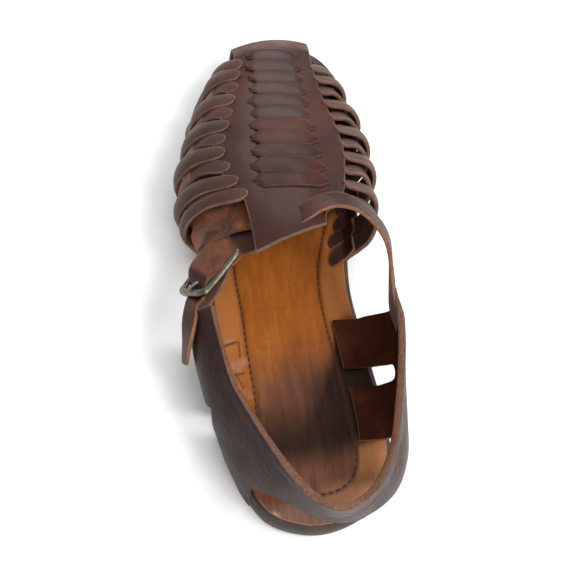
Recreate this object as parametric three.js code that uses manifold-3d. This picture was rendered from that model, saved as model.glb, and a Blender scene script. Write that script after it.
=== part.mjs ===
// A left fisherman sandal: rubber sole, leather insole, woven upper with heel band, strap and buckle.
// Millimetres. X runs from the outer side of the foot to the inner side, Y from heel to toe, Z up.
import * as THREE from 'three';
import { mergeVertices } from 'three/addons/utils/BufferGeometryUtils.js';
import Module from 'manifold-3d';

// Driving sizes
const CLEAR = 0.3;
const LEATHER = 2.2;
const STRAP_LEATHER = 2;
const FOLD_LEATHER = 1.4;
const INSOLE_THICK = 3.0;
const LEDGE = 3.2;
const FOOT_INSET = 0.5;
const FOOT_TRIM = 1;
const TRIM_OUT = 6;
const TRIM_DEEP = 9;
const TOE_INSET = 3;
const TOE_INSET_FROM = 222;
const TOE_INSET_TO = 256;
const INSOLE_TOE_SHARE = 1.2;
const SOLE_HEEL_TOP = 10.5;
const SOLE_BALL_TOP = 7.5;
const SOLE_DROP_FROM = 70;
const SOLE_DROP_TO = 160;
const HEEL_BREAST = 78;
const HEEL_LIFT = 3.6;
const ARCH_END = 132;
const SPRING_START = 212;
const SPRING_RISE = 7;
const SPRING_RUN = 78;
const SOLE_UNDERCUT = 1.2;
const SOLE_ROWS = 54;
const INSOLE_ROWS = 44;
const INSOLE_TOE_GAP = 9.5;

// Outline of the sole: distance from the heel, then the outer and inner edges.
const OUTLINE = [
  { s: 6, lat: -21.9, med: 21.2 },
  { s: 16, lat: -30.8, med: 32.2 },
  { s: 32, lat: -37.3, med: 38.4 },
  { s: 55, lat: -40.1, med: 38.8 },
  { s: 90, lat: -40.5, med: 34.8 },
  { s: 125, lat: -42.6, med: 31.4 },
  { s: 155, lat: -46.6, med: 34.4 },
  { s: 180, lat: -50.4, med: 40.3 },
  { s: 205, lat: -52.2, med: 46.5 },
  { s: 228, lat: -50.3, med: 48.3 },
  { s: 248, lat: -44.9, med: 46.6 },
  { s: 265, lat: -36.5, med: 42.7 },
  { s: 278, lat: -25.9, med: 36 },
  { s: 286, lat: -13.5, med: 26.5 },
];
const HEEL_END = { x: -0.4, y: 0 };
const TOE_END = { x: 8, y: 290 };

// Sections of the vamp: widest points, their height, and the ridge.
const VAMP = [
  { s: 110, lat: -50, med: 41, bulge: 34, ridgeX: -8, ridgeZ: 69.5 },
  { s: 132, lat: -54, med: 41.5, bulge: 33, ridgeX: -7, ridgeZ: 68 },
  { s: 150, lat: -56, med: 42, bulge: 31, ridgeX: -6, ridgeZ: 65 },
  { s: 165, lat: -57.5, med: 44, bulge: 28.5, ridgeX: -6, ridgeZ: 60.5 },
  { s: 187, lat: -56, med: 46.4, bulge: 26, ridgeX: -6.5, ridgeZ: 54.5 },
  { s: 205, lat: -51.5, med: 46.4, bulge: 23, ridgeX: -5.5, ridgeZ: 49.5 },
  { s: 220, lat: -47.5, med: 45, bulge: 21.5, ridgeX: -4.8, ridgeZ: 45.5 },
  { s: 240, lat: -40.5, med: 40.5, bulge: 20, ridgeX: -3.2, ridgeZ: 40.5 },
  { s: 255, lat: -35.5, med: 37.5, bulge: 19, ridgeX: -2, ridgeZ: 36.8 },
  { s: 268, lat: -34, med: 36, bulge: 17, ridgeX: -1, ridgeZ: 33.8 },
  { s: 277, lat: -42, med: 44, bulge: 12, ridgeX: 0, ridgeZ: 30.3 },
  { s: 282.5, lat: -46, med: 48, bulge: 6, ridgeX: 0, ridgeZ: 25.5 },
  { s: 285, lat: -46, med: 48, bulge: 0, ridgeX: 0, ridgeZ: 19.5 },
  { s: 286, lat: -46, med: 48, bulge: -4, ridgeX: 0, ridgeZ: 13.9 },
];

// Edges of the front panel, from the end of the tongue to the foot of the toe band.
const PANEL = [
  { s: 122, lat: -25, med: 8 },
  { s: 132, lat: -25.8, med: 9.5 },
  { s: 141, lat: -27, med: 13 },
  { s: 151, lat: -29, med: 20 },
  { s: 166, lat: -36, med: 24 },
  { s: 186, lat: -39, med: 27 },
  { s: 206, lat: -34.5, med: 26 },
  { s: 221, lat: -31, med: 23.5 },
  { s: 241, lat: -26.5, med: 21.5 },
  { s: 258, lat: -23, med: 21 },
  { s: 270, lat: -21.8, med: 21.2 },
  { s: 286, lat: -21.8, med: 21.5 },
];
const TOE_SKEW = 0.006;
const TOE_SKEW_X = 10;
const TOE_SKEW_FROM = 235;
const TOE_SKEW_TO = 278;
const TONGUE_SLANT = 0.42;
const TONGUE_MIDDLE = -10;
const TONGUE_END = 122;
const TONGUE_ROOT = 143;
const PANEL_BEND = 274;
const PANEL_ROWS = 26;
const TOE_STATIONS = [277, 279.5, 281.5, 283, 284.2, 285, 285.6, 286];
const PANEL_COLUMNS = 6;

// Woven fingers: place of the tip on the panel, place of the foot on the sole, widths and lift.
const FINGERS = [
  { tip: 256, foot: 260, tipWide: 10, footWide: 9, lift: 1.2 },
  { tip: 245.5, foot: 249, tipWide: 9.8, footWide: 11.5, lift: 2.7 },
  { tip: 235, foot: 238, tipWide: 8.4, footWide: 6.2, lift: 1 },
  { tip: 224.5, foot: 228, tipWide: 9.8, footWide: 11.5, lift: 2.7 },
  { tip: 214, foot: 217, tipWide: 8.4, footWide: 6.2, lift: 1 },
  { tip: 203.5, foot: 206, tipWide: 9.8, footWide: 11.5, lift: 2.7 },
  { tip: 193, foot: 195, tipWide: 8.4, footWide: 6.2, lift: 1 },
  { tip: 182.5, foot: 184, tipWide: 9.8, footWide: 11.5, lift: 2.7 },
  { tip: 172, foot: 172.5, tipWide: 8.4, footWide: 6.2, lift: 1 },
  { tip: 162, foot: 161, tipWide: 9.2, footWide: 11.5, lift: 2.7 },
  { tip: 152.5, foot: 148, tipWide: 8.6, footWide: 8.5, lift: 1.3 },
];
const TIP_REACH = 5.5;
const FINGER_STEPS = 10;
const TIP_ROUND = 0.14;
const TIP_TAPER = 0.86;
const TIP_STEPS = [0.5, 0.18, 0];

// Raised bars of the braid down the middle of the panel.
const BAR_FIRST = 158;
const BAR_LAST = 262;
const BAR_COUNT = 11;
const BAR_WIDE = 6.4;
const BAR_LIFT = 1.1;
const BAR_ENDS = [
  { s: 158, lat: -21, med: 11.5 },
  { s: 262, lat: -12.5, med: 10.5 },
];

// Heel band, from the inner side round the heel to the outer side: foot, swell and rim of its inner face.
const BAND = [
  { footX: 33.6, footY: 106, midX: 41.5, midY: 104, midZ: 32, rimX: 40.5, rimY: 101, rimZ: 56.5 },
  { footX: 35.6, footY: 82, midX: 42, midY: 81, midZ: 31, rimX: 39.4, rimY: 79.5, rimZ: 53.8 },
  { footX: 38.2, footY: 60, midX: 41.5, midY: 60, midZ: 30, rimX: 35.9, rimY: 60, rimZ: 53.4 },
  { footX: 38.8, footY: 44, midX: 40.5, midY: 43, midZ: 30, rimX: 31.8, rimY: 44, rimZ: 54.6 },
  { footX: 37, footY: 29, midX: 38.2, midY: 26.5, midZ: 30, rimX: 27.2, rimY: 29, rimZ: 56.5 },
  { footX: 31, footY: 15.6, midX: 30.6, midY: 12.2, midZ: 30, rimX: 20, rimY: 14.4, rimZ: 58.4 },
  { footX: 18, footY: 5, midX: 17, midY: 3.2, midZ: 30, rimX: 11.4, rimY: 4.8, rimZ: 59.8 },
  { footX: 0, footY: 1, midX: 2.6, midY: 1.2, midZ: 30, rimX: 0.9, rimY: 0.8, rimZ: 61 },
  { footX: -18, footY: 5, midX: -13.6, midY: 8, midZ: 30, rimX: -9.4, rimY: 5.4, rimZ: 61.4 },
  { footX: -30, footY: 15.6, midX: -26.6, midY: 16.6, midZ: 30, rimX: -17.6, rimY: 16.2, rimZ: 59.8 },
  { footX: -36.2, footY: 29, midX: -37, midY: 29, midZ: 28, rimX: -25.6, rimY: 31, rimZ: 56.5 },
  { footX: -39.2, footY: 44, midX: -43, midY: 43.5, midZ: 28, rimX: -32, rimY: 45.6, rimZ: 52.8 },
  { footX: -39.8, footY: 60, midX: -48, midY: 59, midZ: 29, rimX: -38, rimY: 60, rimZ: 50.4 },
  { footX: -40, footY: 80, midX: -52, midY: 79, midZ: 30, rimX: -42.2, rimY: 79.6, rimZ: 49.6 },
  { footX: -40.6, footY: 100, midX: -54, midY: 99, midZ: 31, rimX: -45.2, rimY: 97, rimZ: 51.6 },
];
const BAND_STEPS = 44;
const BAND_LEVELS = [0, 0.06, 0.12, 0.18, 0.25, 0.34, 0.45, 0.6, 0.8, 1];
const BAND_SWELL = 0.45;

// Inner legs of the band: their feet turn in over the edge of the sole and lie on the insole.
const LEG_INWARD = 15.8;
const LEG_LEVEL = 0.4;
const LEG_EASE = 2.6;
const LEG_FROM = 22;
const LEG_TO = 38;

// Openings of the heel band: flat outlines, seen from the side (y, z) or from behind (x, z).
const MEDIAL_GAP = [[67.6, 6], [78.8, 6], [78, 15], [76.4, 20.6], [74.4, 26.6], [71.8, 28.8], [69, 28.6], [67, 26]];
const LATERAL_GAP = [[49, 6], [60.5, 6], [60, 22], [58, 30], [54.5, 34], [51, 30], [49.5, 22]];
const MEDIAL_FRONT = [[140, 0], [140, 46], [101, 43.5], [98.5, 40], [100, 33], [103.2, 24], [105, 17], [105.6, 5]];
const LATERAL_FRONT = [[140, 0], [140, 36.5], [97, 36.5], [93, 33], [92, 27], [94, 15], [95, 5]];
const HEEL_ARCH_OUTER = [[-32, 0], [-32.2, 24], [-31, 28], [-28, 31.2], [-24, 33.8], [-18, 35.2], [-8, 35]];
const HEEL_ARCH_INNER = [[4, 34.4], [14, 33.6], [22, 31.6], [28, 27.6], [31, 20], [31, 0]];
const MEDIAL_HEEL = [[-12, 0], [-12, 33], [14, 33.4], [30, 33], [36.5, 31], [39.6, 26], [40.5, 16], [40.5, 0]];
const HEEL_ARCH_REACH = 24;
const MEDIAL_HEEL_FROM = 16;
const CUT_INSIDE = 10;
const CUT_OUTSIDE = 80;

// Instep strap: its rear and front edges on the outer face, from the inner band to the buckle.
const STRAP = [
  { rear: [39.2, 118, 63], front: [43.4, 124, 52.6] },
  { rear: [34.6, 128, 67], front: [39.6, 135.4, 58.4] },
  { rear: [26.4, 135.6, 70], front: [30.4, 143.4, 63.4] },
  { rear: [17, 138.2, 71.6], front: [20.4, 147.6, 67.2] },
  { rear: [8.4, 136.4, 72], front: [11, 146.4, 69.6] },
  { rear: [1, 132, 69.8], front: [2.6, 143, 68.6] },
  { rear: [-6, 127.4, 64.8], front: [-5, 138.6, 63.4] },
  { rear: [-15, 123.6, 62.4], front: [-15, 134.8, 60.4] },
  { rear: [-24.6, 121.4, 57.8], front: [-26, 132, 53.2] },
];
const STRAP_STEPS = 46;

// Buckle: middle of the free bar, middle of the anchor bar and the direction along both.
const FREE_BAR = new THREE.Vector3(-53.4, 110.6, 40.5);
const ANCHOR_BAR = new THREE.Vector3(-34.8, 130.6, 48.6);
const BAR_LINE = new THREE.Vector3(-0.529, 0.488, -0.698);
const FRAME_WIDE = 18;
const FRAME_CORNER = 3.4;
const CORNER_SHARE = 0.28;
const FRAME_STEPS = 44;
const PRONG_STEPS = 10;
const WIRE_RADIUS = 1.5;
const PRONG_RADIUS = 1.1;
const STRAP_WIDE = 9.8;
const STRAP_SHIFT = -1.6;
const FOLD_RADIUS = 3.35;
const FOLD_TURNS = [160, 128, 96, 64, 32, 0, -32, -64, -92];
const PRONG_SLOT = { wide: 3.6, below: -5.6, above: 9 };
const STRAP_SLOT = { from: 4, to: 21 };
const FOLD_SLOT = { from: 19, to: 29 };

// Path of the strap over the anchor bar and under the free bar: along the frame and above its plane.
const STRAP_IN_BUCKLE = [
  { along: 32, above: 5.8 },
  { along: 26, above: 5.8 },
  { along: 16, above: 2.2 },
  { along: 6, above: -1.4 },
  { along: 0, above: -2.2 },
  { along: -7, above: -2 },
];
const TAIL = [
  [-60.2, 98.5, 32.5],
  [-60.4, 90, 24],
  [-60, 83, 16],
];
const TAIL_SHARE = 0.42;
const TAIL_LINE = new THREE.Vector3(-0.12, 0.8, -0.59);

// Anchor strap: from the outer band under the frame, then round the anchor bar and back inside.
const ANCHOR_START = [0.955, 0.99];
const STRAP_START = [0.055, 0.012];
const BAND_STRAP_TOP = 0.985;
const BAND_STRAP_LOW = 0.64;
const ANCHOR_RUN = [
  { along: -8, above: -5.6 },
  { along: 4, above: -5.2 },
  { along: 14, above: -4.4 },
  { along: 21, above: -2.4 },
];
const ANCHOR_END = { along: 21, above: -5.6 };
const PRONG = [
  { along: 25.3, above: 0 },
  { along: 20, above: 0.2 },
  { along: 12, above: 1.4 },
  { along: 4, above: 2.8 },
  { along: -1.2, above: 3 },
];

const wasm = await Module();
wasm.setup();

// Smooth value of one column of a table at a place along its first column.
function column(rows, key, at) {
  const last = rows.length - 1;
  const place = Math.min(Math.max(at, rows[0].s), rows[last].s);
  let row = 0;
  while (row < last - 1 && place > rows[row + 1].s) {
    row += 1;
  }
  const slope = (index) => {
    const before = rows[Math.max(index - 1, 0)];
    const after = rows[Math.min(index + 1, last)];
    return (after[key] - before[key]) / (after.s - before.s);
  };
  const run = rows[row + 1].s - rows[row].s;
  const t = (place - rows[row].s) / run;
  const t2 = t * t;
  const t3 = t2 * t;
  const start = rows[row][key] * (2 * t3 - 3 * t2 + 1) + slope(row) * run * (t3 - 2 * t2 + t);
  const end = rows[row + 1][key] * (3 * t2 - 2 * t3) + slope(row + 1) * run * (t3 - t2);
  return start + end;
}

function mix(a, b, t) {
  return a + (b - a) * t;
}

function smoothStep(from, to, value) {
  const t = Math.min(Math.max((value - from) / (to - from), 0), 1);
  return t * t * (3 - 2 * t);
}

// Sole outline as one closed loop, moved inwards by the inset.
const outlinePoints = [new THREE.Vector3(HEEL_END.x, HEEL_END.y, 0)];
OUTLINE.forEach((row) => outlinePoints.push(new THREE.Vector3(row.lat, row.s, 0)));
outlinePoints.push(new THREE.Vector3(TOE_END.x, TOE_END.y, 0));
[...OUTLINE].reverse().forEach((row) => outlinePoints.push(new THREE.Vector3(row.med, row.s, 0)));
const outlineCurve = new THREE.CatmullRomCurve3(outlinePoints, true, 'centripetal');
const OUTLINE_SAMPLES = 480;

function outlineLoop(insetAt) {
  const loop = [];
  for (let index = 0; index < OUTLINE_SAMPLES; index += 1) {
    const t = index / OUTLINE_SAMPLES;
    const point = outlineCurve.getPoint(t);
    const tangent = outlineCurve.getTangent(t);
    const inset = insetAt(point.y);
    loop.push({ x: point.x + tangent.y * inset, y: point.y - tangent.x * inset });
  }
  return loop;
}

// Outer and inner edge of a loop at one distance from the heel.
function edgesAt(loop, s) {
  let lat = Infinity;
  let med = -Infinity;
  loop.forEach((point, index) => {
    const next = loop[(index + 1) % loop.length];
    const crosses = (point.y - s) * (next.y - s) <= 0 && point.y !== next.y;
    if (crosses) {
      const x = mix(point.x, next.x, (s - point.y) / (next.y - point.y));
      lat = Math.min(lat, x);
      med = Math.max(med, x);
    }
  });
  return { lat, med };
}

function spring(s) {
  const past = Math.max(s - SPRING_START, 0) / SPRING_RUN;
  return SPRING_RISE * past * past;
}

function soleTop(s) {
  return mix(SOLE_HEEL_TOP, SOLE_BALL_TOP, smoothStep(SOLE_DROP_FROM, SOLE_DROP_TO, s)) + spring(s);
}

function soleBottom(s) {
  const arch = s > HEEL_BREAST ? HEEL_LIFT * (1 - smoothStep(HEEL_BREAST, ARCH_END, s)) : 0;
  return arch + spring(s);
}

// Closed solid between an outer and an inner grid of points.
function thickGrid(outer, inner) {
  const rows = outer.length;
  const columns = outer[0].length;
  const positions = [];
  const faces = [];
  [outer, inner].forEach((grid) => grid.forEach((line) => line.forEach((p) => positions.push(...p))));
  const at = (layer, row, col) => (layer * rows + row) * columns + col;
  const quad = (a, b, c, d) => faces.push(a, b, c, a, c, d);
  for (let row = 0; row < rows - 1; row += 1) {
    for (let col = 0; col < columns - 1; col += 1) {
      quad(at(0, row, col), at(0, row + 1, col), at(0, row + 1, col + 1), at(0, row, col + 1));
      quad(at(1, row, col), at(1, row, col + 1), at(1, row + 1, col + 1), at(1, row + 1, col));
    }
    quad(at(0, row, 0), at(1, row, 0), at(1, row + 1, 0), at(0, row + 1, 0));
    const end = columns - 1;
    quad(at(0, row, end), at(0, row + 1, end), at(1, row + 1, end), at(1, row, end));
  }
  for (let col = 0; col < columns - 1; col += 1) {
    quad(at(0, 0, col), at(0, 0, col + 1), at(1, 0, col + 1), at(1, 0, col));
    const end = rows - 1;
    quad(at(0, end, col), at(1, end, col), at(1, end, col + 1), at(0, end, col + 1));
  }
  return outwards(positions, faces);
}

// Turns the faces of a closed solid outwards when its volume comes out negative.
function outwards(positions, faces) {
  let volume = 0;
  for (let face = 0; face < faces.length; face += 3) {
    const corner = (k) => new THREE.Vector3().fromArray(positions, faces[face + k] * 3);
    volume += corner(0).dot(corner(1).cross(corner(2)));
  }
  if (volume < 0) {
    for (let face = 0; face < faces.length; face += 3) {
      [faces[face + 1], faces[face + 2]] = [faces[face + 2], faces[face + 1]];
    }
  }
  const geometry = new THREE.BufferGeometry();
  geometry.setAttribute('position', new THREE.Float32BufferAttribute(positions, 3));
  geometry.setIndex(faces);
  return geometry;
}

function toSolid(geometry) {
  const bare = geometry.clone();
  bare.deleteAttribute('normal');
  bare.deleteAttribute('uv');
  const merged = mergeVertices(bare, 1e-4);
  const vertProperties = new Float32Array(merged.attributes.position.array);
  const triVerts = new Uint32Array(merged.index.array);
  return new wasm.Manifold(new wasm.Mesh({ numProp: 3, vertProperties, triVerts }));
}

function toGeometry(solid) {
  const mesh = solid.getMesh();
  const geometry = new THREE.BufferGeometry();
  geometry.setAttribute('position', new THREE.Float32BufferAttribute(mesh.vertProperties, 3));
  geometry.setIndex(Array.from(mesh.triVerts));
  return geometry;
}

function joinAll(solids) {
  return solids.reduce((whole, piece) => whole.add(piece));
}

// Solid sheet of leather between a surface and its copy one thickness away.
function sheet(surface, alongValues, acrossValues, thickness) {
  const outer = alongValues.map((u) => acrossValues.map((w) => surface(u, w)));
  const rows = outer.length;
  const columns = outer[0].length;
  const inner = outer.map((line, row) => line.map((point, col) => {
    const ahead = outer[Math.min(row + 1, rows - 1)][col];
    const behind = outer[Math.max(row - 1, 0)][col];
    const right = line[Math.min(col + 1, columns - 1)];
    const left = line[Math.max(col - 1, 0)];
    const normal = ahead.clone().sub(behind).cross(right.clone().sub(left)).normalize();
    return point.clone().addScaledVector(normal, -thickness);
  }));
  const plain = (grid) => grid.map((line) => line.map((point) => point.toArray()));
  return thickGrid(plain(outer), plain(inner));
}

function evenly(from, to, steps) {
  return Array.from({ length: steps + 1 }, (unused, index) => mix(from, to, index / steps));
}

// Sole and insole: stations along the foot, closer together where the ends turn.
const toeInset = (s) => TOE_INSET * smoothStep(TOE_INSET_FROM, TOE_INSET_TO, s);
const outerLoop = outlineLoop(() => 0);
const insoleLoop = outlineLoop((s) => LEDGE + toeInset(s) * INSOLE_TOE_SHARE);

function slab(loop, from, to, steps, topAt, bottomAt, undercut) {
  const stations = evenly(0, Math.PI, steps).map((a) => mix(from, to, 0.5 - 0.5 * Math.cos(a)));
  const fractions = [0, 0.5, 1];
  const layer = (height, shrink) => stations.map((s) => {
    const { lat, med } = edgesAt(loop, s);
    const pull = Math.min(shrink, (med - lat) * 0.2);
    return fractions.map((f) => [mix(lat + pull, med - pull, f), s, height(s)]);
  });
  return thickGrid(layer(topAt, 0), layer(bottomAt, undercut));
}

const soleStart = 0.1;
const soleEnd = TOE_END.y - 0.1;
const outsole = slab(outerLoop, soleStart, soleEnd, SOLE_ROWS, soleTop, soleBottom, SOLE_UNDERCUT);
const insoleBottom = (s) => soleTop(s) + CLEAR;
const insoleTop = (s) => soleTop(s) + CLEAR + INSOLE_THICK;
const insoleFrom = LEDGE + 0.3;
const insoleTo = TOE_END.y - INSOLE_TOE_GAP;
const insole = slab(insoleLoop, insoleFrom, insoleTo, INSOLE_ROWS, insoleTop, insoleBottom, 0);

// Point of the vamp on one side: the turn runs from the ridge (0) past the widest (1) to the foot (2).
function vampSide(s, side, turn) {
  const key = side < 0 ? 'lat' : 'med';
  const wide = column(VAMP, key, s);
  const bulge = column(VAMP, 'bulge', s);
  const ridgeX = column(VAMP, 'ridgeX', s);
  const ridgeZ = column(VAMP, 'ridgeZ', s);
  if (turn <= 1) {
    const angle = turn * Math.PI / 2;
    const x = ridgeX + (wide - ridgeX) * Math.sin(angle);
    return new THREE.Vector3(x, s, bulge + (ridgeZ - bulge) * Math.cos(angle));
  }
  const drop = turn - 1;
  const foot = edgesAt(outerLoop, s)[key] - side * (FOOT_INSET + toeInset(s));
  const footZ = soleTop(s) - FOOT_TRIM;
  const ease = drop * drop * (3 - 2 * drop);
  return new THREE.Vector3(mix(wide, foot, ease), s, mix(bulge, footZ, drop));
}

function turnAt(s, side, x) {
  const wide = column(VAMP, side < 0 ? 'lat' : 'med', s);
  const ridgeX = column(VAMP, 'ridgeX', s);
  return Math.asin(Math.min(Math.max((x - ridgeX) / (wide - ridgeX), -1), 1)) * 2 / Math.PI;
}

// Point of the panel: across from its outer to its inner edge, with the skewed toe and slanted tongue.
function panelPoint(s, across) {
  const x = mix(column(PANEL, 'lat', s), column(PANEL, 'med', s), across);
  const side = x < column(VAMP, 'ridgeX', s) ? -1 : 1;
  const point = vampSide(s, side, Math.abs(turnAt(s, side, x)));
  const skew = TOE_SKEW * (x - TOE_SKEW_X) ** 2 * smoothStep(TOE_SKEW_FROM, TOE_SKEW_TO, s);
  const slant = TONGUE_SLANT * (x - TONGUE_MIDDLE) * (1 - smoothStep(TONGUE_END, TONGUE_ROOT, s));
  point.y += slant - skew;
  point.z = Math.max(point.z, soleTop(point.y) - FOOT_TRIM);
  return point;
}

const panelStations = evenly(TONGUE_END, PANEL_BEND, PANEL_ROWS).concat(TOE_STATIONS);
const panel = sheet(panelPoint, panelStations, evenly(0, 1, PANEL_COLUMNS), LEATHER);

// One woven finger: from its foot on the sole up the side to its rounded tip on the panel.
function finger(row, side) {
  const key = side < 0 ? 'lat' : 'med';
  const tipX = column(PANEL, key, row.tip) - side * TIP_REACH;
  const tipTurn = turnAt(row.tip, side, tipX);
  const surface = (along, across) => {
    const turn = mix(2, tipTurn, along);
    const round = Math.max((along - 1 + TIP_ROUND) / TIP_ROUND, 0);
    const narrow = Math.sqrt(Math.max(1 - TIP_TAPER * round * round, 0));
    const wide = mix(row.footWide, row.tipWide, smoothStep(0.1, 0.7, along)) * narrow;
    const s = mix(row.foot, row.tip, along) + across * wide / 2;
    const point = vampSide(s, side, turn);
    const step = 0.004;
    const up = vampSide(s, side, turn - step).sub(vampSide(s, side, turn + step));
    const forward = vampSide(s + 0.5, side, turn).sub(vampSide(s - 0.5, side, turn));
    const outward = up.cross(forward).normalize();
    if (outward.x * side < 0) {
      outward.negate();
    }
    return point.addScaledVector(outward, row.lift * smoothStep(0, 0.3, along));
  };
  const body = evenly(0, 1 - TIP_ROUND, FINGER_STEPS);
  const tip = TIP_STEPS.map((share) => 1 - TIP_ROUND * share);
  const across = side < 0 ? [-1, 0, 1] : [1, 0, -1];
  return sheet(surface, body.concat(tip), across, LEATHER);
}

const fingers = [];
[-1, 1].forEach((side) => FINGERS.forEach((row) => fingers.push(finger(row, side))));

// Raised bars of the braid.
const bars = evenly(BAR_FIRST, BAR_LAST, BAR_COUNT - 1).map((s) => {
  const surface = (along, across) => {
    const x = mix(column(BAR_ENDS, 'lat', s), column(BAR_ENDS, 'med', s), across);
    const side = x < column(VAMP, 'ridgeX', along) ? -1 : 1;
    const point = vampSide(along, side, Math.abs(turnAt(along, side, x)));
    point.z += BAR_LIFT;
    return point;
  };
  return sheet(surface, [s - BAR_WIDE / 2, s + BAR_WIDE / 2], evenly(0, 1, 4), LEATHER);
});

// Heel band: a wall through foot, swell and rim.
function bandCurve(x, y, z) {
  const points = BAND.map((row) => new THREE.Vector3(row[x], row[y], z ? row[z] : 0));
  return new THREE.CatmullRomCurve3(points, false, 'catmullrom', 0.5);
}
const footCurve = bandCurve('footX', 'footY', '');
const midCurve = bandCurve('midX', 'midY', 'midZ');
const rimCurve = bandCurve('rimX', 'rimY', 'rimZ');

function bandPoint(t, level) {
  const foot = footCurve.getPoint(t);
  foot.z = soleTop(foot.y) - FOOT_TRIM;
  const mid = midCurve.getPoint(t);
  const rim = rimCurve.getPoint(t);
  const onLeg = foot.x > 0 ? smoothStep(LEG_FROM, LEG_TO, foot.y) : 0;
  const lowest = mix(foot.z, insoleTop(foot.y) + CLEAR + LEATHER, onLeg);
  const footShare = (level - BAND_SWELL) * (level - 1) / BAND_SWELL;
  const midShare = level * (level - 1) / (BAND_SWELL * (BAND_SWELL - 1));
  const rimShare = level * (level - BAND_SWELL) / (1 - BAND_SWELL);
  const point = foot.multiplyScalar(footShare).addScaledVector(mid, midShare).addScaledVector(rim, rimShare);
  point.x -= LEG_INWARD * onLeg * Math.max(1 - level / LEG_LEVEL, 0) ** LEG_EASE;
  point.z = Math.max(point.z, lowest);
  return point;
}
const bandWall = sheet(bandPoint, evenly(0, 1, BAND_STEPS), BAND_LEVELS, LEATHER);
const roomClear = CLEAR * 0.8;
const roomLoop = outlineLoop((s) => LEDGE - roomClear + toeInset(s) * INSOLE_TOE_SHARE);
const roomTop = (s) => insoleTop(s) + roomClear;
const insoleRoom = slab(roomLoop, insoleFrom - roomClear, insoleTo + roomClear, INSOLE_ROWS, roomTop, insoleBottom, 0);

// Straight cutter through an outline; the reach is given along the third direction.
function cutter(points, from, to, place) {
  const shape = new THREE.Shape(points.map(([a, b]) => new THREE.Vector2(a, b)));
  const geometry = new THREE.ExtrudeGeometry(shape, { depth: to - from, bevelEnabled: false, steps: 1 });
  geometry.translate(0, 0, from);
  const position = geometry.attributes.position;
  for (let index = 0; index < position.count; index += 1) {
    const moved = place(position.getX(index), position.getY(index), position.getZ(index));
    position.setXYZ(index, ...moved);
  }
  return toSolid(geometry);
}
const sideways = (a, b, depth) => [depth, a, b];
const lengthways = (a, b, depth) => [a, -depth, b];
const openings = [
  cutter(MEDIAL_GAP, CUT_INSIDE, CUT_OUTSIDE, sideways),
  cutter(MEDIAL_FRONT, CUT_INSIDE, CUT_OUTSIDE, sideways),
  cutter(MEDIAL_HEEL, MEDIAL_HEEL_FROM, CUT_OUTSIDE, sideways),
  cutter(LATERAL_GAP, -CUT_OUTSIDE, -CUT_INSIDE, sideways),
  cutter(LATERAL_FRONT, -CUT_OUTSIDE, -CUT_INSIDE, sideways),
  cutter(HEEL_ARCH_OUTER.concat(HEEL_ARCH_INNER), -HEEL_ARCH_REACH, CUT_OUTSIDE, lengthways),
];
let band = toSolid(bandWall).subtract(toSolid(insoleRoom));
openings.forEach((opening) => {
  band = band.subtract(opening);
});

// Buckle directions
const along = ANCHOR_BAR.clone().sub(FREE_BAR);
const FRAME_LONG = along.length();
along.normalize();
const bar = BAR_LINE.clone().addScaledVector(along, -BAR_LINE.dot(along)).normalize();
const above = bar.clone().cross(along).normalize();
if (above.z < 0) {
  above.negate();
}

function inBuckle(alongBy, barBy, aboveBy) {
  return FREE_BAR.clone().addScaledVector(along, alongBy)
    .addScaledVector(bar, barBy).addScaledVector(above, aboveBy);
}

// Strap: over the instep, under the tongue, through the buckle, then the hanging tail.
const rearPoints = STRAP_START.map((t) => bandPoint(t, BAND_STRAP_TOP));
const frontPoints = STRAP_START.map((t) => bandPoint(t, BAND_STRAP_LOW));
STRAP.forEach((row) => {
  rearPoints.push(new THREE.Vector3(...row.rear));
  frontPoints.push(new THREE.Vector3(...row.front));
});
STRAP_IN_BUCKLE.forEach((row) => {
  rearPoints.push(inBuckle(row.along, STRAP_SHIFT - STRAP_WIDE / 2, row.above));
  frontPoints.push(inBuckle(row.along, STRAP_SHIFT + STRAP_WIDE / 2, row.above));
});
const tailLine = TAIL_LINE.clone().normalize();
TAIL.forEach((point) => {
  rearPoints.push(new THREE.Vector3(...point).addScaledVector(tailLine, -STRAP_WIDE * TAIL_SHARE));
  frontPoints.push(new THREE.Vector3(...point).addScaledVector(tailLine, STRAP_WIDE * TAIL_SHARE));
});
const rearEdge = new THREE.CatmullRomCurve3(rearPoints, false, 'catmullrom', 0.5);
const frontEdge = new THREE.CatmullRomCurve3(frontPoints, false, 'catmullrom', 0.5);
const strapSurface = (t, across) => frontEdge.getPoint(t).lerp(rearEdge.getPoint(t), across);
const strapSheet = sheet(strapSurface, evenly(0, 1, STRAP_STEPS), [0, 1], STRAP_LEATHER);

// Anchor strap: from the outer band to the buckle, folded round its bar.
const anchorRows = [...ANCHOR_RUN];
FOLD_TURNS.forEach((turn) => {
  const angle = THREE.MathUtils.degToRad(turn);
  anchorRows.push({
    along: FRAME_LONG + FOLD_RADIUS * Math.cos(angle),
    above: FOLD_RADIUS * Math.sin(angle),
  });
});
anchorRows.push(ANCHOR_END);
const anchorRear = ANCHOR_START.map((t) => bandPoint(t, BAND_STRAP_TOP));
const anchorFront = ANCHOR_START.map((t) => bandPoint(t, BAND_STRAP_LOW));
anchorRows.forEach((row) => {
  anchorRear.push(inBuckle(row.along, -STRAP_WIDE / 2, row.above));
  anchorFront.push(inBuckle(row.along, STRAP_WIDE / 2, row.above));
});
const anchorRearEdge = new THREE.CatmullRomCurve3(anchorRear, false, 'catmullrom', 0.5);
const anchorFrontEdge = new THREE.CatmullRomCurve3(anchorFront, false, 'catmullrom', 0.5);
const anchorSurface = (t, across) => anchorRearEdge.getPoint(t).lerp(anchorFrontEdge.getPoint(t), across);
const anchorSheet = sheet(anchorSurface, evenly(0, 1, anchorRear.length * 2 - 2), [0, 1], FOLD_LEATHER);

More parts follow.
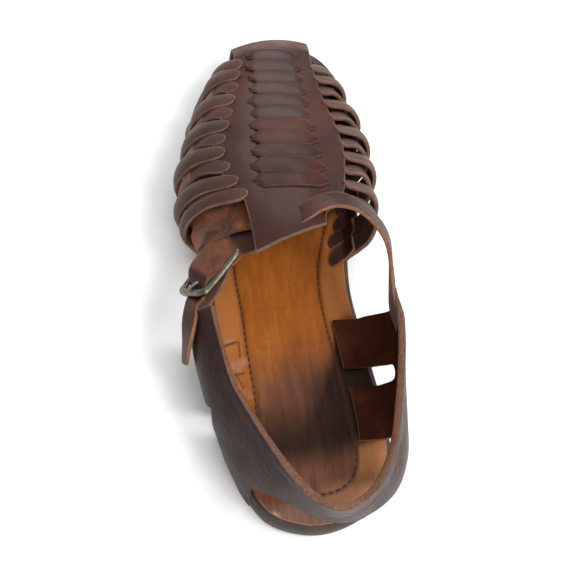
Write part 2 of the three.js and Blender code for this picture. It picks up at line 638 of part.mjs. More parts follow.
// Slots that let the prong through the strap and through the fold of the anchor strap.
function slot({ from, to }) {
  const side = PRONG_SLOT.wide / 2;
  const outline = [[from, -side], [to, -side], [to, side], [from, side]];
  const place = (a, b, depth) => inBuckle(a, b, depth).toArray();
  return cutter(outline, PRONG_SLOT.below, PRONG_SLOT.above, place);
}
const strap = toSolid(strapSheet).subtract(slot(STRAP_SLOT));
const anchor = toSolid(anchorSheet).subtract(slot(FOLD_SLOT));

// Upper: panel, fingers, braid, band and straps in one.
const upperPieces = [panel, ...fingers, ...bars].map(toSolid);
upperPieces.push(band, strap, anchor);
const trimLoop = outlineLoop(() => -TRIM_OUT);
const trimTop = (s) => soleTop(s) + CLEAR;
const trimBottom = (s) => soleTop(s) - TRIM_DEEP;
const trimEnd = TRIM_OUT - 0.5;
const trim = slab(trimLoop, -trimEnd, TOE_END.y + trimEnd, SOLE_ROWS, trimTop, trimBottom, 0);
const upper = joinAll(upperPieces).subtract(toSolid(trim));

// Buckle frame: a bent wire.
function wire(points, radius, closed, steps) {
  const path = new THREE.CatmullRomCurve3(points, closed, 'centripetal');
  const shape = new THREE.Shape();
  shape.absarc(0, 0, radius, 0, Math.PI * 2, false);
  const options = { steps, extrudePath: path, bevelEnabled: false, curveSegments: 4 };
  return new THREE.ExtrudeGeometry(shape, options);
}

const half = FRAME_WIDE / 2;
const cornerWays = [[0, -1], [0, 1], [1, 1], [1, -1]];
const frameCorners = [];
cornerWays.forEach(([far, way]) => {
  const alongAt = far ? FRAME_LONG : 0;
  const inAlong = far ? -FRAME_CORNER : FRAME_CORNER;
  const first = inBuckle(alongAt, way * (half - FRAME_CORNER), 0);
  const second = inBuckle(alongAt + inAlong, way * half, 0);
  const middle = inBuckle(alongAt + inAlong * CORNER_SHARE, way * (half - FRAME_CORNER * CORNER_SHARE), 0);
  const turnsOut = (far === 0) === (way > 0);
  frameCorners.push(...(turnsOut ? [first, middle, second] : [second, middle, first]));
});
const frame = wire(frameCorners, WIRE_RADIUS, true, FRAME_STEPS);
const prongPoints = PRONG.map((row) => inBuckle(row.along, 0, row.above));
const prong = wire(prongPoints, PRONG_RADIUS, false, PRONG_STEPS);

const group = new THREE.Group();

function addPiece(name, geometry, colour, roughness, metalness) {
  const material = new THREE.MeshStandardMaterial({ color: colour, roughness, metalness });
  const mesh = new THREE.Mesh(geometry, material);
  mesh.name = name;
  group.add(mesh);
}

addPiece('outsole', outsole, 0x2a211d, 0.85, 0);
addPiece('insole', insole, 0x9c5a26, 0.6, 0);
addPiece('upper', toGeometry(upper), 0x5a443e, 0.6, 0);
addPiece('buckle_frame', frame, 0x8a8168, 0.45, 0.9);
addPiece('buckle_prong', prong, 0x8a8168, 0.45, 0.9);

// The middle of the sandal's box stands over the origin, with the sole on the floor.
const box = new THREE.Box3().setFromObject(group);
const middle = box.getCenter(new THREE.Vector3());
group.children.forEach((mesh) => mesh.geometry.translate(-middle.x, -middle.y, -box.min.z));

export default group;
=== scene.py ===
# A left fisherman sandal: leather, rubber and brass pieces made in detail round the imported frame.
# Tables and shapes are in millimetres in the shoe's own directions: X to the inner side of the foot,
# Y from heel to toe, Z up. They are moved to the frame's origin and to metres when a mesh is made.
import math

import bmesh
import bpy
import numpy as np
from mathutils import Matrix, Vector


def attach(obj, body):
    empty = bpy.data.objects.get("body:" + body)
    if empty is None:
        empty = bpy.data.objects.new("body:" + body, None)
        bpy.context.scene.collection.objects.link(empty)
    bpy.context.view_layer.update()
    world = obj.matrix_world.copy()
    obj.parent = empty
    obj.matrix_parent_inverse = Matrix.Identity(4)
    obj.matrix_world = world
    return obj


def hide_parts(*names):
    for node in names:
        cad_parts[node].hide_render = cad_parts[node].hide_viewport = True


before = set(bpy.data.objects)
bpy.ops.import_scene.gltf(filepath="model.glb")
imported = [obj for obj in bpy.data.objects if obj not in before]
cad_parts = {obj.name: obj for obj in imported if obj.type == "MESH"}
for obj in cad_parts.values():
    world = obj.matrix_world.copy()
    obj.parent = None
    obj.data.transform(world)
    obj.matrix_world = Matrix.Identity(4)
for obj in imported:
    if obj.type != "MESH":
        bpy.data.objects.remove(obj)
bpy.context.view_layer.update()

SEED = 11
rng = np.random.default_rng(SEED)

# Place of the frame's origin in the shoe's own directions, and the scale to metres
ORIGIN = np.array([-5.844, 144.251, 0.0])
METRE = 0.001

# Sizes shared with the frame. A pair of places is where a change starts and ends.
CLEAR = 0.3
LEATHER = 2.2
STRAP_LEATHER = 2.0
FOLD_LEATHER = 1.4
INSOLE_THICK = 3.0
LEDGE = 3.2
INSOLE_UNDER = 2.2
INSOLE_UNDER_RISE = (56, 72)
INSOLE_UNDER_FALL = (138, 160)
FOOT_INSET = 0.5
FOOT_TRIM = 1.0
TOE_INSET = 3.0
TOE_INSET_RUN = (222, 256)
INSOLE_TOE_SHARE = 1.2
INSOLE_TOE_GAP = 9.5
SOLE_HEEL_TOP = 10.5
SOLE_BALL_TOP = 7.5
SOLE_DROP_RUN = (70, 160)
HEEL_BREAST = 78.0
HEEL_LIFT = 3.6
ARCH_END = 132.0
SPRING_START = 212.0
SPRING_RISE = 7.0
SPRING_RUN = 78.0
SHOE_LENGTH = 290.0

# Outline of the sole: distance from the heel, then the outer and inner edges
OUTLINE = [
    (6, -21.9, 21.2), (16, -30.8, 32.2), (32, -37.3, 38.4), (55, -40.1, 38.8), (90, -40.5, 34.8),
    (125, -42.6, 31.4), (155, -46.6, 34.4), (180, -50.4, 40.3), (205, -52.2, 46.5), (228, -50.3, 48.3),
    (248, -44.9, 46.6), (265, -36.5, 42.7), (278, -25.9, 36.0), (286, -13.5, 26.5),
]
HEEL_END = (-0.4, 0.0)
TOE_END = (8.0, SHOE_LENGTH)
LOOP_SAMPLES = 480

# Sections of the vamp: distance, outer and inner widest points, their height, ridge place and height
VAMP = [
    (110, -50, 41, 34, -8, 69.5), (132, -54, 41.5, 33, -7, 68), (150, -56, 42, 31, -6, 65),
    (165, -57.5, 44, 28.5, -6, 60.5), (187, -56, 46.4, 26, -6.5, 54.5), (205, -51.5, 46.4, 23, -5.5, 49.5),
    (220, -47.5, 45, 21.5, -4.8, 45.5), (240, -40.5, 40.5, 20, -3.2, 40.5), (255, -35.5, 37.5, 19, -2, 36.8),
    (268, -34, 36, 17, -1, 33.8), (277, -42, 44, 12, 0, 30.3), (282.5, -46, 48, 6, 0, 25.5),
    (285, -46, 48, 0, 0, 19.5), (286, -46, 48, -4, 0, 13.9),
]
LAT, MED, BULGE, RIDGE_X, RIDGE_Z = 1, 2, 3, 4, 5

# Edges of the front panel, from the end of the tongue to the foot of the toe band
PANEL = [
    (122, -25, 8), (132, -25.8, 9.5), (141, -27, 13), (151, -29, 20), (166, -36, 24), (186, -39, 27),
    (206, -34.5, 26), (221, -31, 23.5), (241, -26.5, 21.5), (258, -23, 21), (270, -21.8, 21.2),
    (286, -21.8, 21.5),
]
PANEL_ROWS = 150
PANEL_TOE_ROWS = 41
PANEL_COLUMNS = 64
PANEL_BEND = 274.0
PANEL_TOE = 286.0
TOE_SKEW = 0.006
TOE_SKEW_X = 10.0
TOE_SKEW_RUN = (235, 278)
# Chafed colour over the toe bend: rubbing, and painted sheen on the bend
TOE_RUB_AND_SHEEN_RISE = (262, 273)
TOE_RUB_AND_SHEEN_FALL = (275, 285)
TONGUE_SLANT = 0.42
TONGUE_MIDDLE = -10.0
TONGUE_END = 122.0
TONGUE_ROOT = 143.0

# Woven strips: place of the tip, place of the foot, reach of the tip over the panel, widths at the foot,
# half way and the tip, and the lift off the vamp half way and at the tip. Leaves dive under the loops.
STRIPS = [
    (256, 260, 5.5, 9, 10, 9.4, 1.4, 2.8), (245.5, 249, 5.5, 10.5, 14, 9.2, 3.4, 3.4),
    (235, 238, 5.5, 6.6, 6, 9.2, 0.5, 2.8), (224.5, 228, 5.5, 10.5, 14.4, 9.2, 3.6, 3.4),
    (214, 217, 5.5, 6.6, 6, 9.2, 0.5, 2.8), (203.5, 206, 5.5, 10.5, 14.4, 9.2, 3.6, 3.4),
    (193, 195, 5.5, 6.6, 6, 9.2, 0.5, 2.8), (182.5, 184, 5.5, 10.5, 14, 9.2, 3.6, 3.4),
    (171.5, 172.5, 5.2, 6.6, 6.4, 9, 0.5, 2.8), (160.5, 161, 4.4, 10.5, 11.5, 8.6, 3.4, 3.4),
    (149.6, 148, 2.8, 8.5, 8.5, 8.2, 2.2, 3.1),
]
LEAVES = (2, 4, 6, 8)
LEAF_CROWN = 0.5
LEAF_DIVE = 3.0
LEAF_RAW_SHARE = 0.78
LOOP_CROWN = 0.5
LOOP_CURL = 1.0
LOOP_SWEEP = 0.62
STRIP_ROWS = 43
STRIP_TIP_ROWS = 14
STRIP_COLUMNS = 12
STRIP_SHIFT = 0.3
STRIP_BEND = 3.2
TURN_STEP = 0.004
ALONG_STEP = 0.5
TIP_ROUND = 0.058
TIP_TAPER = 0.93
# Changes along a strip, as shares of its length from foot to tip
SWELL_RISE = (0, 0.35)
SWELL_MIDDLE = 0.4
OUTER_THROAT = (0.66, 0.97)
INNER_THROAT = (0.52, 0.84)
DIVE_RISE = (0.66, 0.82)
DIVE_FALL = (0.84, 0.99)
BEND_RISE = (0.4, 0.75)
BEND_FALL = (0.78, 1.0)
LIFT_RISE = (0, 0.3)
TIP_LIFT_RISE = (0.76, 0.96)
# Inner strips as shares of the outer ones, and their own lean
INNER_SLIM = (0.45, 0.86)
INNER_SHARES = (1, 1, 0.25, 1.22, 1, 0.8, 1, 0.82)
INNER_TILT = 0.95
INNER_TILT_RISE = (0.45, 0.7)
# Ends of the last inner strips, lying on the insole: tip x y, width
TABS = [(21.8, 141, 9.0), (22.8, 152, 8.0), (26.6, 162, 8.0), (30, 172.5, 7.6)]
TAB_ROWS = 26
TAB_COLUMNS = 9
TAB_BACK = 8.0
TAB_LIFT = 1.5
TAB_RISE = 6.5
TAB_BEND = 0.42
TAB_ROUND = 0.3

# Braid down the middle of the panel: distance, outer and inner ends of its bars
BAR_ENDS = np.array([(158, -21, 11.5), (262, -12.5, 10.5)])
BARS = np.linspace(158, 262, 11)
RED_BARS = 5
BAR_ROWS = 12
BAR_COLUMNS = 44
BAR_WIDE = 10.0
BAR_LIFT = 1.0
BAR_CROWN = 0.28
BAR_POINT = 0.26
BAR_TAPER = 0.94
BAR_END_DROP = 0.3
BAR_OVER = (-2.0, 2.5)
BAR_END_SPREAD = 0.5
BAR_SHIFT = 0.2
BAR_SAG = 0.35
BAR_SAG_MIDDLE = 0.2
BRAID_SINK = 0.7
# The ground under the braid slopes from this far outside its bars' ends to this far inside
BRAID_SLOPE = (1, 3)
BRAID_RISE = (150, 156)
BRAID_FALL = (264, 270)

# Heel band from the inner side round the heel to the outer side: foot x y, swell x y z, rim x y z
BAND = np.array([
    (33.6, 106, 41.5, 104, 32, 40.5, 101, 56.5), (35.6, 82, 42, 81, 31, 39.4, 79.5, 53.8),
    (38.2, 60, 41.5, 60, 30, 35.9, 60, 53.4), (38.8, 44, 40.5, 43, 30, 31.8, 44, 54.6),
    (37, 29, 38.2, 26.5, 30, 27.2, 29, 56.5), (31, 15.6, 30.6, 12.2, 30, 20, 14.4, 58.4),
    (18, 5, 17, 3.2, 30, 11.4, 4.8, 59.8), (0, 1, 2.6, 1.2, 30, 0.9, 0.8, 61),
    (-18, 5, -13.6, 8, 30, -9.4, 5.4, 61.4), (-30, 15.6, -26.6, 16.6, 30, -17.6, 16.2, 59.8),
    (-36.2, 29, -37, 29, 28, -25.6, 31, 56.5), (-39.2, 44, -43, 43.5, 28, -32, 45.6, 52.8),
    (-39.8, 60, -48, 59, 29, -38, 60, 50.4), (-40, 80, -52, 79, 30, -42.2, 79.6, 49.6),
    (-40.6, 100, -54, 99, 31, -45.2, 97, 51.6),
])
BAND_SWELL = 0.45
BAND_ROWS = 230
BAND_COLUMNS = 44
RIM_ROLL = 1.2
RIM_ROLL_RISE = (0.9, 0.985)
# Where the band thins into the instep strap: levels, shares of its length and the share of its thickness
MERGE_LEVELS = (0.5, 0.62)
MERGE_RUN = (0.0, 0.05)
MERGE_THIN = 0.12

# Inner legs of the band: their feet turn in over the edge of the sole and lie on the insole
LEG_INWARD = 15.8
LEG_LEVEL = 0.4
LEG_EASE = 2.6
LEG_RUN = (22, 38)

# Openings of the heel band: outlines seen from the side (y, z) or from behind (x, z)
INNER_GAP = [
    (67.6, 6), (78.8, 6), (78, 15), (76.4, 20.6), (74.4, 26.6), (71.8, 28.8), (69, 28.6),
    (67, 26), (67.4, 18),
]
OUTER_GAP = [(49, 6), (60.5, 6), (60, 22), (58, 30), (54.5, 34), (51, 30), (49.5, 22)]
INNER_FRONT = [
    (140, 0), (140, 46), (101, 43.5), (98.5, 40), (100, 33), (103.2, 24), (105, 17), (105.6, 5),
]
OUTER_FRONT = [(140, 0), (140, 36.5), (97, 36.5), (93, 33), (92, 27), (94, 15), (95, 5)]
HEEL_ARCH = [
    (-31.4, 0), (-32.2, 24), (-31, 28), (-28, 31.2), (-24, 33.8), (-18, 35.2), (-8, 35),
    (4, 34.4), (14, 33.6), (22, 31.6), (28, 27.6), (31, 20), (31, 0),
]
INNER_HEEL = [
    (40.5, 0), (40.5, 16), (39.6, 26), (36.5, 31), (30, 33), (14, 33.4), (-12, 33), (-12, 0),
]
# Cuts through the band: outline, from and to, the axis it runs along, and where its legs stop being straight
SIDEWAYS, LENGTHWAYS = 0, 1
CUTS = [
    (INNER_GAP, 10, 80, SIDEWAYS, 10), (INNER_FRONT, 10, 80, SIDEWAYS, 4),
    (OUTER_GAP, -80, -10, SIDEWAYS, 10), (OUTER_FRONT, -80, -10, SIDEWAYS, 4),
    (HEEL_ARCH, -80, 24, LENGTHWAYS, 4),
]
INNER_HEEL_CUT = (INNER_HEEL, 16, 80, SIDEWAYS, 4)
OUTLINE_STEPS = 8
# Points of the cut band that are nearer than this, in metres, become one
WELD_GAP = 0.00003

# Instep strap: rear and front edges, from the inner band to the buckle
STRAP = [
    ((39.2, 118, 63), (43.4, 124, 52.6)), ((34.6, 128, 67), (39.6, 135.4, 58.4)),
    ((26.4, 135.6, 70), (30.4, 143.4, 63.4)), ((17, 138.2, 71.6), (20.4, 147.6, 67.2)),
    ((8.4, 136.4, 72), (11, 146.4, 69.9)), ((1, 132, 71.4), (2.6, 143, 70.4)),
    ((-6, 127.8, 69.6), (-5, 138.6, 68.6)), ((-15, 126.6, 62.6), (-15, 137.4, 60.6)),
    ((-24.8, 121.5, 57.5), (-26, 134.6, 56.6)),
]
# Strap in the buckle: rear and front edges, each along the frame, across it and above its plane
STRAP_IN_BUCKLE = [
    ((26.4, -11.7, -2.8), (30, 2.5, 5.8)), ((20, -10.2, -2.2), (26, 8.0, 6.0)),
    ((14, -7.6, 0.2), (16, 10.6, 5.0)), ((8.5, -6.0, 2.0), (9, 10.0, 4.6)),
    ((4, -5.6, 0.4), (4, 7.0, 2.8)), ((0, -5.4, -2.4), (0, 5.6, -2.2)),
]
# Tail of the strap: its middle line, the direction across it and half its width as a share of the strap's
TAIL = [(-54.9, 103.5, 42.9), (-57.1, 93.4, 44.3), (-58.4, 85.8, 38.0), (-59.6, 79.2, 27.6)]
TAIL_LINES = [(-0.41, 0.64, -0.65), (-0.5, 0.5, -0.7), (-0.3, 0.5, -0.81), (-0.1, 0.48, -0.87)]
TAIL_SHARES = (0.54, 0.49, 0.45, 0.4)
STRAP_GRID = (260, 12)
STRAP_WIDE = 9.8
STRAP_START = (0.055, 0.012)
STRAP_RUB_RISE = (0.49, 0.56)
STRAP_RUB_FALL = (0.68, 0.76)
STRAP_CROWN = 2.6
STRAP_CROWN_RISE = (0.46, 0.54)
STRAP_CROWN_FALL = (0.58, 0.7)
STRAP_LIP = 1.5
STRAP_LIP_RISE = (0.72, 1.0)
STRAP_ROOT_THIN = 0.15
STRAP_ROOT = (0.0, 0.06)
BAND_STRAP_TOP = 0.985
BAND_STRAP_LOW = 0.64

# Anchor strap: along the frame, above its plane and its rear edge, then the fold round the bar in degrees
ANCHOR_RUN = [(-8, -5.6, -9.4), (4, -5.2, -9.0), (14, -4.4, -7.0), (21, -2.4, -4.9)]
ANCHOR_GRID = (150, 10)
ANCHOR_START = (0.955, 0.99)
ANCHOR_END = (21, -5.6)
FOLD_RADIUS = 3.35
FOLD_TURNS = (160, 128, 96, 64, 32, 0, -32, -64, -92)

# Buckle: its two bars and their line, then the wire frame and the prong along the frame and above its plane
FREE_BAR = np.array([-53.4, 110.6, 40.5])
ANCHOR_BAR = np.array([-34.8, 130.6, 48.6])
BAR_LINE = np.array([-0.529, 0.488, -0.698])
FRAME_WIDE = 18.0
FRAME_CORNER = 3.4
CORNER_SHARE = 0.28
FRAME_SLIP = -0.8
FRAME_SHEAR = 0.26
FRAME_SAMPLES = 160
WIRE_RADIUS = 1.5
WIRE_FLAT = 0.92
FREE_BAR_RADIUS = 2.1
FREE_BAR_TO = (0.6, 3.0)
PRONG = [(25.3, 0), (20, 0.1), (12, 0), (6.5, -0.2), (3.0, 1.9), (-1.2, 3)]
PRONG_RADIUS = 1.1
PRONG_SAMPLES = 40
PRONG_TAPER = 0.35
PRONG_TAPER_RUN = (0.75, 1.0)

# Lining behind the last outer strips: where it starts near the tongue and at the foot, and where it ends
LINING_FROM = 133.5
LINING_LOW = 143.0
LINING_TO = 178.0
LINING_TURNS = (1.92, 0.2)
LINING_SLANT = (1.5, 0.8)
LINING_ROWS = 86
LINING_COLUMNS = 46
LINING_GAP = 0.4
LINING_THICK = 0.9
LINING_WAVE = 0.8
LINING_WAVES = 9
# Height of the lining's folds, and their waves round the foot, along it and in their own bending
LONG_FOLD = 1.5
LONG_FOLD_WAVES = (7.5, 6, 5)
LONG_FOLD_FADE = 0.7
CROSS_FOLD = 1.1
CROSS_FOLD_WAVES = (-5, 10, 6)
CROSS_FOLD_SWAY = 1.2

# Insole: a dished sheet with a soft edge
INSOLE_ROWS = 400
INSOLE_COLUMNS = 76
INSOLE_DISH = 0.7
INSOLE_FROM = 3.5
# Stitch line of the insole, from under the vamp on the outer side round the heel to the inner side
STITCH_LINE = [
    (-33, 236), (-37, 205), (-35, 178), (-31.6, 155), (-30.2, 143), (-29.5, 129), (-27.9, 112), (-26.9, 89.5),
    (-25.2, 68.6), (-25, 50), (-24, 36), (-18.5, 24.5), (-7, 17.6), (5, 17), (14.5, 20.5), (19.8, 28),
    (21.3, 38), (19.7, 50), (18.7, 66), (17.2, 81), (15.9, 93), (14.2, 110), (13.9, 127), (15.6, 141),
    (19.9, 157), (26, 180), (31, 205), (30, 234),
]
STITCH_SAMPLES = 900
STITCH_GROOVE = 0.45
GROOVE_REACH = 1.6
SEAM_REACH = 1.5
STITCH_FROM = 2.0
STITCH_LONG = 2.7
STITCH_GAP = 0.9
STITCH_RADIUS = 0.36
STITCH_ENDS = 0.55
STITCH_ARCH = 0.45
STITCH_SINK = 0.15
STITCH_ROWS = 7
STITCH_SIDES = 6

# Wear and painted light of the insole. Paler margin outside the stitching, and painted light on it at the
# inner side of the heel, where it is strongest
MARGIN_REACH = 3.0
MARGIN_RUN = (60, 95)
LIT_MARGIN = 0.8
LIT_MARGIN_REACH = 1.5
LIT_MARGIN_ACROSS = (4, 18)
LIT_MARGIN_ALONG = (10, 34)
LIT_MARGIN_REAR = (-4, 3)
LIT_MARGIN_CLEARS = 0.85
# Front and rear borders of the painted shadow over the insole's heel: x values, then y values
SHADE_FRONT = ((-45, -17, -0.3, 8, 16, 19.3, 26, 40), (47, 51, 55, 69, 84, 96.6, 103, 106))
SHADE_REAR = ((-40, -13.6, -4.5, 11, 24, 40), (30, 31, 31.5, 34.5, 40, 46))
SHADE_BLUR = (15, 8)
SHADE_BLUR_RUN = (-5, 18)
SHADE_BLUR_AHEAD = 1.5
SHADE_REAR_BLUR = (-8, 10)
HEEL_POLISH = 0.85
HEEL_POLISH_RUN = (64, 114)
HEEL_POLISH_SLOPE = 0.35
# Dust at the end of the heel, and the haze that dust leaves on the leather
HEEL_DUST = 0.7
DUST_ACROSS = (-8, 10)
DUST_RISE = (4, 12)
DUST_FALL = (14, 30)
DUST_HAZE = 0.42
# Haze laid with the painted light on the inner heel margin
LIT_MARGIN_HAZE = 0.22
HEEL_HAZE = 0.07
HAZE_END = (60, 110)
END_HAZE = 0.28
END_HAZE_TO = (9, 17)
# Painted shadow of the inner strips on the insole beside them, and painted shade under the vamp
STRIP_SHADOW = (27, 147)
STRIP_SHADOW_SIZE = (8, 16)
STRIP_SHADOW_DARK = 0.6
VAMP_SHADE_ALONG = (164, 180)
VAMP_SHADE_ACROSS = (-33, -22)
# Pale scuff at the outer end of the heel
SCUFF = (-21, 8.4)
SCUFF_SIZE = (3.2, 2.2)
SCUFF_EDGE = 1.4
# Lines of wear: their ends, half width, sharpness and strength. The last two dark ones are painted shade in
# creases.
CRACKS_AND_CREASE_SHADE = [
    ((-38.2, 93.6), (-32.6, 95.4), 1.0, 1.6, 1.0), ((-30.8, 96), (-30.9, 87.3), 0.8, 1.6, 0.9),
    ((-34, 77.8), (-29.6, 78.6), 1.0, 1.6, 0.9), ((-33.5, 77.4), (-30, 70.3), 0.7, 1.6, 0.8),
    ((-26, 113), (13, 116), 1.4, 1.0, 0.2), ((-25, 92), (12, 94), 1.4, 1.0, 0.2),
]
FLAKES = [
    ((-38, 95.6), (-32.5, 97.2), 0.9, 1.6, 0.35), ((-34.2, 83), (-28, 85), 2.6, 1.6, 0.3),
    ((-33.8, 82), (-32.4, 80.4), 2.4, 1.6, 0.36), ((-34.9, 77.8), (-32, 70.4), 0.8, 1.6, 0.35),
    ((-29.8, 69.5), (-27.6, 66.1), 1.8, 1.6, 0.26),
]

# Rings of the sole from its top face down the edge to the underside: inset, share of the height, drop
SOLE_RINGS = [
    (7.0, 0.0, 0.0), (1.0, 0.0, 0.0), (0.45, 0.0, 0.12), (0.1, 0.0, 0.5), (0.0, 0.3, 0.0), (0.02, 0.36, 0.0),
    (0.45, 0.4, 0.0), (0.45, 0.43, 0.0), (0.05, 0.47, 0.0), (0.1, 0.6, 0.0),
    (0.5, 0.8, 0.0), (0.9, 0.94, 0.0), (1.5, 1.0, 0.0), (8.0, 1.0, 0.0),
]

# Slots of a leather plate, how far chafing reaches in from its border, and the profile of its cut edge
GRAIN, EDGE, FLESH = 0, 1, 2
RIM_REACH = 3.0
EDGE_PROFILE = [(0.22, 0.1), (0.34, 0.34), (0.34, 0.7), (0.16, 0.95)]
TINY = 1e-9


# Curves and tables

def mix(a, b, t):
    return a + (b - a) * t


def unit(vector):
    return vector / max(float(np.linalg.norm(vector)), TINY)


def smooth_step(start, end, value):
    t = np.clip((np.asarray(value, float) - start) / np.subtract(end, start), 0, 1)
    return t * t * (3 - 2 * t)


def hump(rise, fall, value):
    """0 before the rise and after the fall, 1 between them."""
    return smooth_step(*rise, value) * (1 - smooth_step(*fall, value))


def column(rows, key, at):
    """Smooth value of one column of a table at places along its first column."""
    table = np.array(rows, float)
    stations, values = table[:, 0], table[:, key]
    last = len(stations) - 1
    before = np.maximum(np.arange(last + 1) - 1, 0)
    after = np.minimum(np.arange(last + 1) + 1, last)
    slope = (values[after] - values[before]) / (stations[after] - stations[before])
    place = np.clip(np.asarray(at, float), stations[0], stations[last])
    row = np.clip(np.searchsorted(stations, place) - 1, 0, last - 1)
    run = stations[row + 1] - stations[row]
    t = (place - stations[row]) / run
    start = values[row] * (2 * t**3 - 3 * t**2 + 1) + slope[row] * run * (t**3 - 2 * t**2 + t)
    end = values[row + 1] * (3 * t**2 - 2 * t**3) + slope[row + 1] * run * (t**3 - t**2)
    return start + end


def spline(a, b, c, d, t):
    """Point between b and c on a smooth curve through four points."""
    return 0.5 * (2 * b + (c - a) * t + (2 * a - 5 * b + 4 * c - d) * t**2 + (3 * b - a - 3 * c + d) * t**3)


def open_curve(points, at):
    """Smooth open curve through points at shares of its length, the end tangents running straight on."""
    points = np.array(points, float)
    padded = np.vstack([2 * points[0] - points[1], points, 2 * points[-1] - points[-2]])
    place = np.clip(np.asarray(at, float), 0, 1) * (len(points) - 1)
    part = np.minimum(place.astype(int), len(points) - 2)
    return spline(*(padded[part + k] for k in range(4)), (place - part)[..., None])


def closed_curve(points, samples):
    """Smooth closed curve through points, with knots spread by the square root of the chords."""
    points = np.array(points, float)
    count = len(points)
    place = np.arange(samples) / samples * count
    part = place.astype(int)
    t = (place - part)[:, None]
    a, b, c, d = (points[(part + k - 1) % count] for k in range(4))
    first, second, third = (
        np.sqrt(np.linalg.norm(q - p, axis=1, keepdims=True)) for p, q in ((a, b), (b, c), (c, d)))
    leave = ((b - a) / first - (c - a) / (first + second) + (c - b) / second) * second
    arrive = ((c - b) / second - (d - b) / (second + third) + (d - c) / third) * second
    c2 = -3 * b + 3 * c - 2 * leave - arrive
    c3 = 2 * b - 2 * c + leave + arrive
    return b + leave * t + c2 * t**2 + c3 * t**3


# Shape of the shoe

outer_edge = [(lat, s) for s, lat, med in OUTLINE]
inner_edge = [(med, s) for s, lat, med in reversed(OUTLINE)]
outline = closed_curve([HEEL_END, *outer_edge, TOE_END, *inner_edge], LOOP_SAMPLES)
outline_ahead = np.roll(outline, -1, axis=0) - np.roll(outline, 1, axis=0)
outline_ahead /= np.linalg.norm(outline_ahead, axis=1, keepdims=True)


def toe_inset(s):
    return TOE_INSET * smooth_step(*TOE_INSET_RUN, s)


def loop_at(inset):
    """Sole outline moved inwards."""
    inwards = np.stack([outline_ahead[:, 1], -outline_ahead[:, 0]], axis=1)
    return outline + inwards * np.broadcast_to(inset, LOOP_SAMPLES)[:, None]


def edge_lookup(loop):
    """Outer and inner edges of a loop at any distance from the heel."""
    heel = int(np.argmin(loop[:, 1]))
    rolled = np.roll(loop, -heel, axis=0)
    toe = int(np.argmax(rolled[:, 1]))
    outer = rolled[: toe + 1]
    inner = np.vstack([rolled[toe:], rolled[:1]])[::-1]

    def edges(s):
        return np.interp(s, outer[:, 1], outer[:, 0]), np.interp(s, inner[:, 1], inner[:, 0])

    return edges


sole_edges = edge_lookup(loop_at(0.0))
under_band = hump(INSOLE_UNDER_RISE, INSOLE_UNDER_FALL, outline[:, 1]) * (outline[:, 0] < 0)
insole_inset = LEDGE - INSOLE_UNDER * under_band + toe_inset(outline[:, 1]) * INSOLE_TOE_SHARE
insole_edges = edge_lookup(loop_at(insole_inset))


def spring(s):
    return SPRING_RISE * (np.maximum(s - SPRING_START, 0) / SPRING_RUN) ** 2


def sole_top(s):
    return mix(SOLE_HEEL_TOP, SOLE_BALL_TOP, smooth_step(*SOLE_DROP_RUN, s)) + spring(s)


def insole_top(s):
    return sole_top(s) + CLEAR + INSOLE_THICK


def sole_bottom(s):
    arch = np.where(s > HEEL_BREAST, HEEL_LIFT * (1 - smooth_step(HEEL_BREAST, ARCH_END, s)), 0)
    return arch + spring(s)


def vamp_side(s, side, turn):
    """Point of the vamp: the turn runs from the ridge (0) past the widest point (1) to the foot (2)."""
    s, turn = np.broadcast_arrays(np.asarray(s, float), np.asarray(turn, float))
    wide = column(VAMP, LAT if side < 0 else MED, s)
    bulge, ridge_x, ridge_z = (column(VAMP, key, s) for key in (BULGE, RIDGE_X, RIDGE_Z))
    angle = np.minimum(turn, 1) * math.pi / 2
    drop = np.clip(turn - 1, 0, 1)
    foot = sole_edges(s)[0 if side < 0 else 1] - side * (FOOT_INSET + toe_inset(s))
    foot_z = sole_top(s) - FOOT_TRIM
    low_x = mix(wide, foot, smooth_step(0, 1, drop))
    x = np.where(turn <= 1, ridge_x + (wide - ridge_x) * np.sin(angle), low_x)
    z = np.where(turn <= 1, bulge + (ridge_z - bulge) * np.cos(angle), mix(bulge, foot_z, drop))
    return np.stack([x, s, z], axis=-1)


def turn_at(s, side, x):
    wide = column(VAMP, LAT if side < 0 else MED, s)
    ridge_x = column(VAMP, RIDGE_X, s)
    return np.arcsin(np.clip((x - ridge_x) / (wide - ridge_x), -1, 1)) * 2 / math.pi


def vamp_top(s, x):
    """Point of the vamp's upper surface over a place."""
    s, x = np.broadcast_arrays(np.asarray(s, float), np.asarray(x, float))
    outer = x < column(VAMP, RIDGE_X, s)
    on_outer, on_inner = (vamp_side(s, side, np.abs(turn_at(s, side, x))) for side in (-1, 1))
    return np.where(outer[..., None], on_outer, on_inner)


def panel_point(s, across):
    x = mix(column(PANEL, LAT, s), column(PANEL, MED, s), across)
    point = vamp_top(s, x)
    skew = TOE_SKEW * (x - TOE_SKEW_X) ** 2 * smooth_step(*TOE_SKEW_RUN, s)
    slant = TONGUE_SLANT * (x - TONGUE_MIDDLE) * (1 - smooth_step(TONGUE_END, TONGUE_ROOT, s))
    point[..., 1] += slant - skew
    point[..., 2] = np.maximum(point[..., 2], sole_top(point[..., 1]) - FOOT_TRIM)
    return point


